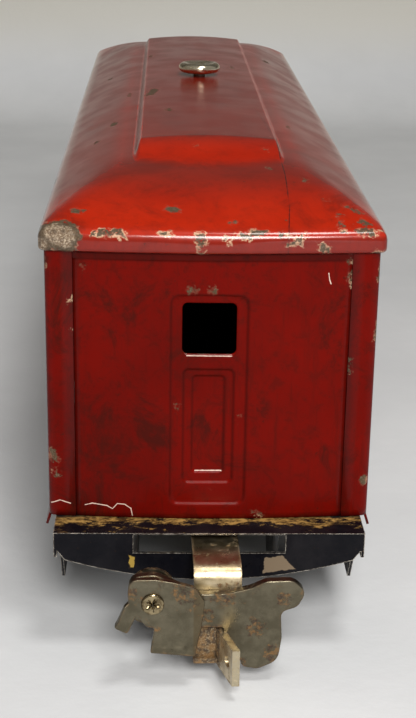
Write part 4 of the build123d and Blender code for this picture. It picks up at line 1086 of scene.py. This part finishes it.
# Outlines as (x, z, corner radius), the latch's about its rivet
LATCH_OUTLINE = (
    (-4.3, 4.8, 3.4), (0.4, 4.8, 3.0), (3.8, 4.2, 4.0), (7.8, 3.0, 2.2), (9.5, 0.3, 2.0),
    (9.0, -4.4, 4.0), (7.8, -11.0, 0.4), (-0.4, -10.2, 0.4), (0.3, -5.0, 0.5), (-1.2, -4.8, 1.2),
    (-2.9, -2.4, 0.3), (-4.6, -6.0, 0.5), (-7.0, -4.3, 0.6), (-5.2, -0.4, 0.6), (-4.4, 0.2, 0.3),
    (-4.5, 1.4, 1.4),
)
HEAD_OUTLINE = (
    (-16.3, 22.0, 4.2), (-11.5, 22.4, 3.0), (-3.2, 18.3, 5.0), (1.7, 18.5, 5.0), (5.9, 19.5, 5.0),
    (8.8, 20.9, 3.0), (13.9, 21.0, 3.0), (16.2, 18.6, 2.8), (14.6, 15.6, 2.2), (11.6, 14.6, 1.6),
    (11.9, 9.2, 4.0), (11.3, 4.4, 3.2), (7.6, 2.7, 2.6), (4.6, 3.2, 1.6), (3.8, 6.8, 1.0),
    (1.2, 7.4, 0.5), (1.0, 11.5, 0.3), (-3.2, 11.6, 0.5), (-9.0, 12.4, 2.0), (-16.3, 12.6, 4.0),
)


def build_latch(end):
    outline = [point + np.array([RIVET_X, RIVET_Z]) for point in filleted(LATCH_OUTLINE)]
    lip_z = RIVET_Z - 9.0
    tail_x = RIVET_X - 3.7

    def shape(x, z):
        lip = 0.55 * unit((lip_z + 0.2 - z) / 1.2)
        tail = 1.1 * smooth_step((tail_x - x) / 2.6)
        return lip + tail

    cuts = [((0, 0, lip_z + 0.2), (0, 0, 1)), ((0, 0, lip_z - 0.3), (0, 0, 1))]
    cuts += [((tail_x - reach, 0, 0), (1, 0, 0.15)) for reach in (0.0, 0.6, 1.3, 2.0)]
    back_y = HEAD_BACK_Y - HEAD_SHEET - LATCH_GAP
    latch = stamped_plate(end + "_worn_latch", outline, back_y, LATCH_SHEET, end, shape, cuts, 0.42)
    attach(latch, end + "_latch_arm")
    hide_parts(end + "_latch")


def build_head(end):
    outline = filleted(HEAD_OUTLINE)
    head = stamped_plate(end + "_worn_head", outline, HEAD_BACK_Y, HEAD_SHEET, end, rounding=0.6)
    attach(head, end + "_coupler")
    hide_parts(end + "_coupler_head")


def build_rivet(end):
    """Rivet through the latch, its round head staked into wedges."""
    head_radius, shank_radius = 2.1, 1.5
    front_y = HEAD_BACK_Y - HEAD_SHEET - LATCH_GAP - LATCH_SHEET
    tail_y = HEAD_BACK_Y + 3.1
    face = ((0.05, 0.30), (0.45, 0.33), (0.9, 0.38), (shank_radius, 0.44), (1.9, 0.40), (head_radius, 0.22),
            (head_radius, 0.02), (shank_radius, -0.02))
    profile = [(radius, front_y - ahead) for radius, ahead in face]
    profile += [(shank_radius, tail_y), (head_radius, tail_y), (head_radius, tail_y + 0.4)]

    def staked(radius, angle):
        if radius in (shank_radius, head_radius):
            return 0.0
        wedge = 1 - abs(math.sin(2.5 * angle + 0.4))
        return 0.20 - 0.85 * wedge * (1 - radius / head_radius)

    rivet = lathe(end + "_staked_rivet", profile, (RIVET_X, RIVET_Z), end, staked, 60)
    dress(rivet, STAKED)
    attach(rivet, end + "_coupler")
    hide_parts(end + "_latch_rivet")


def build_spring(end):
    """Coil of round wire behind the lobe, its leg lying along the bar."""
    wire, coil_radius, turns, segments = 0.36, 3.6, 3.4, 10
    start_y, end_y = HEAD_BACK_Y + 0.15 + wire, HEAD_BACK_Y + 2.0 - wire
    path = []
    steps = int(turns * 28)
    for k in range(steps + 1):
        angle = -math.pi / 2 + 2 * math.pi * turns * k / steps
        y = start_y + (end_y - start_y) * k / steps
        path.append((RIVET_X + coil_radius * math.cos(angle), y, RIVET_Z + coil_radius * math.sin(angle)))
    leg_z = RIVET_Z - coil_radius
    leg = [(x, start_y, leg_z) for x in np.linspace(-4.8, RIVET_X - 0.4, 8)]
    path = np.array(leg + path)
    points = []
    for k, centre in enumerate(path):
        along = path[min(k + 1, len(path) - 1)] - path[max(k - 1, 0)]
        along = along / np.linalg.norm(along)
        side = np.cross(along, (0, 1, 0))
        side = side / np.linalg.norm(side)
        up = np.cross(side, along)
        for r in range(segments):
            angle = 2 * math.pi * r / segments
            points.append(centre + wire * (math.cos(angle) * side + math.sin(angle) * up))
    faces = closed_tube(len(path), segments)
    spring = mesh_object(end + "_coil_spring", on_coupler(np.array(points), end), faces)
    dress(spring, NICKEL)
    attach(spring, end + "_coupler")
    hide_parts(end + "_latch_spring")


# Knob as (radius, z), from its foot round the brim to the dished middle
KNOB_PROFILE = (
    (1.6, 92.32), (2.6, 92.32), (3.6, 92.36), (4.6, 92.6), (5.1, 93.05), (5.25, 93.6),
    (5.2, 94.05), (4.95, 94.5), (4.5, 94.8), (4.0, 94.9), (3.4, 94.8), (2.6, 94.55),
    (1.6, 94.35), (0.8, 94.3), (0.1, 94.3),
)


def build_knob():
    segments = 72
    points = []
    for radius, z in KNOB_PROFILE:
        for k in range(segments):
            angle = 2 * math.pi * k / segments
            points.append((radius * math.cos(angle), radius * math.sin(angle), z))
    knob = mesh_object("dished_knob", points, closed_tube(len(KNOB_PROFILE), segments))
    dress(knob, BRIGHT)
    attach(knob, "thumb_nut")
    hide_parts("roof_knob")


# ---------------------------------------------------------------- carried-over CAD nodes

def dress_frame_nodes():
    """Give each CAD node its finish, and the pressed ones slightly rounded edges."""
    plain = {
        "floor_frame": BLACK, "roof_bridge": STEEL, "roof_stud": STEEL,
        "left_glazing": CELLULOID, "right_glazing": CELLULOID,
    }
    for end in ("front", "rear"):
        for name in ("left_step", "right_step", "truck_bolster", "truck_left_frame", "truck_right_frame"):
            plain[end + "_" + name] = BLACK
        for name in ("end_screws", "kingpin", "kingpin_washers", "kingpin_clip"):
            plain[end + "_" + name] = STEEL
        plain[end + "_coupler_shank"] = GOLDEN
        plain[end + "_latch_washer"] = NICKEL
        for place in ("outer", "inner"):
            plain[end + "_" + place + "_axle"] = STEEL
            plain[end + "_" + place + "_left_wheel"] = WHEEL
            plain[end + "_" + place + "_right_wheel"] = WHEEL
    widths = {"coupler_shank": 0.18, "latch_washer": 0.3, "floor_frame": 0.32, "step": 0.12, "truck": 0.15}
    for node, material in plain.items():
        dress(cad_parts[node], material)
        for kind, width in widths.items():
            if kind in node:
                round_edges(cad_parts[node], width, 2, 35, False)


# ---------------------------------------------------------------- stage, lights and camera

def build_stage():
    """Paper sweep: a floor that turns up into a wall far behind the coach."""
    floor_end, bend, wall_top, half = 430.0, 70.0, 1500.0, 1600.0
    profile = [(-half, 0.0), (floor_end, 0.0)]
    for step in range(1, 13):
        angle = math.radians(90 * step / 12)
        profile.append((floor_end + bend * math.sin(angle), bend * (1 - math.cos(angle))))
    profile.append((floor_end + bend, wall_top))
    points = [(side * half, y, z) for y, z in profile for side in (-1, 1)]
    faces = [(2 * k, 2 * k + 1, 2 * k + 3, 2 * k + 2) for k in range(len(profile) - 1)]
    paper = mesh_object("paper_sweep", points, faces)
    dress(paper, pale_paper("pale_paper", (0.70, 0.72, 0.745, 1), (0.77, 0.79, 0.815, 1)))


def area_light(name, place, aim, size, power, color):
    data = bpy.data.lights.new(name, "AREA")
    data.shape = "DISK"
    data.size = size * MM
    data.energy = power
    data.color = color
    lamp = add_object(name, data)
    lamp.location = Vector(place) * MM
    direction = (Vector(aim) - Vector(place)).normalized()
    lamp.rotation_euler = direction.to_track_quat("-Z", "Y").to_euler()
    lamp.visible_camera = False


def build_lights():
    area_light("overhead", (120, -240, 640), (0, -90, 40), 170, 1.20, (1.0, 0.97, 0.93))
    area_light("front", (70, -740, 500), (0, -140, 30), 310, 5.9, (1.0, 0.97, 0.93))
    world = bpy.data.worlds.new("room")
    world.use_nodes = True
    background = world.node_tree.nodes["Background"]
    background.inputs["Color"].default_value = (0.86, 0.83, 0.79, 1)
    background.inputs["Strength"].default_value = 0.25
    bpy.context.scene.world = world
    bpy.context.scene.view_settings.view_transform = "Standard"


def build_camera():
    """Camera a little to the left of the track, looking down along the coach."""
    place = Vector((-9.1, -377.2, 146.2)) * MM
    yaw, pitch, roll = (math.radians(angle) for angle in (1.91, 19.3, 0.95))
    ahead = Vector((math.sin(yaw) * math.cos(pitch), math.cos(yaw) * math.cos(pitch), -math.sin(pitch)))
    level_right = Vector((math.cos(yaw), -math.sin(yaw), 0))
    level_up = level_right.cross(ahead)
    right = math.cos(roll) * level_right + math.sin(roll) * level_up
    up = -math.sin(roll) * level_right + math.cos(roll) * level_up
    data = bpy.data.cameras.new("camera")
    data.lens = 72.7
    data.sensor_width = 36.0
    data.clip_start = 0.01
    camera = add_object("camera", data)
    axes = Matrix((right, up, -ahead)).transposed()
    camera.matrix_world = Matrix.Translation(place) @ axes.to_4x4()
    bpy.context.scene.camera = camera


build_stage()
build_lights()
build_camera()
build_roof()
build_knob()
for end in ("front", "rear"):
    build_end_panel(end)
    build_head(end)
    build_latch(end)
    build_rivet(end)
    build_spring(end)
for side in ("left", "right"):
    build_side(side)
dress_frame_nodes()
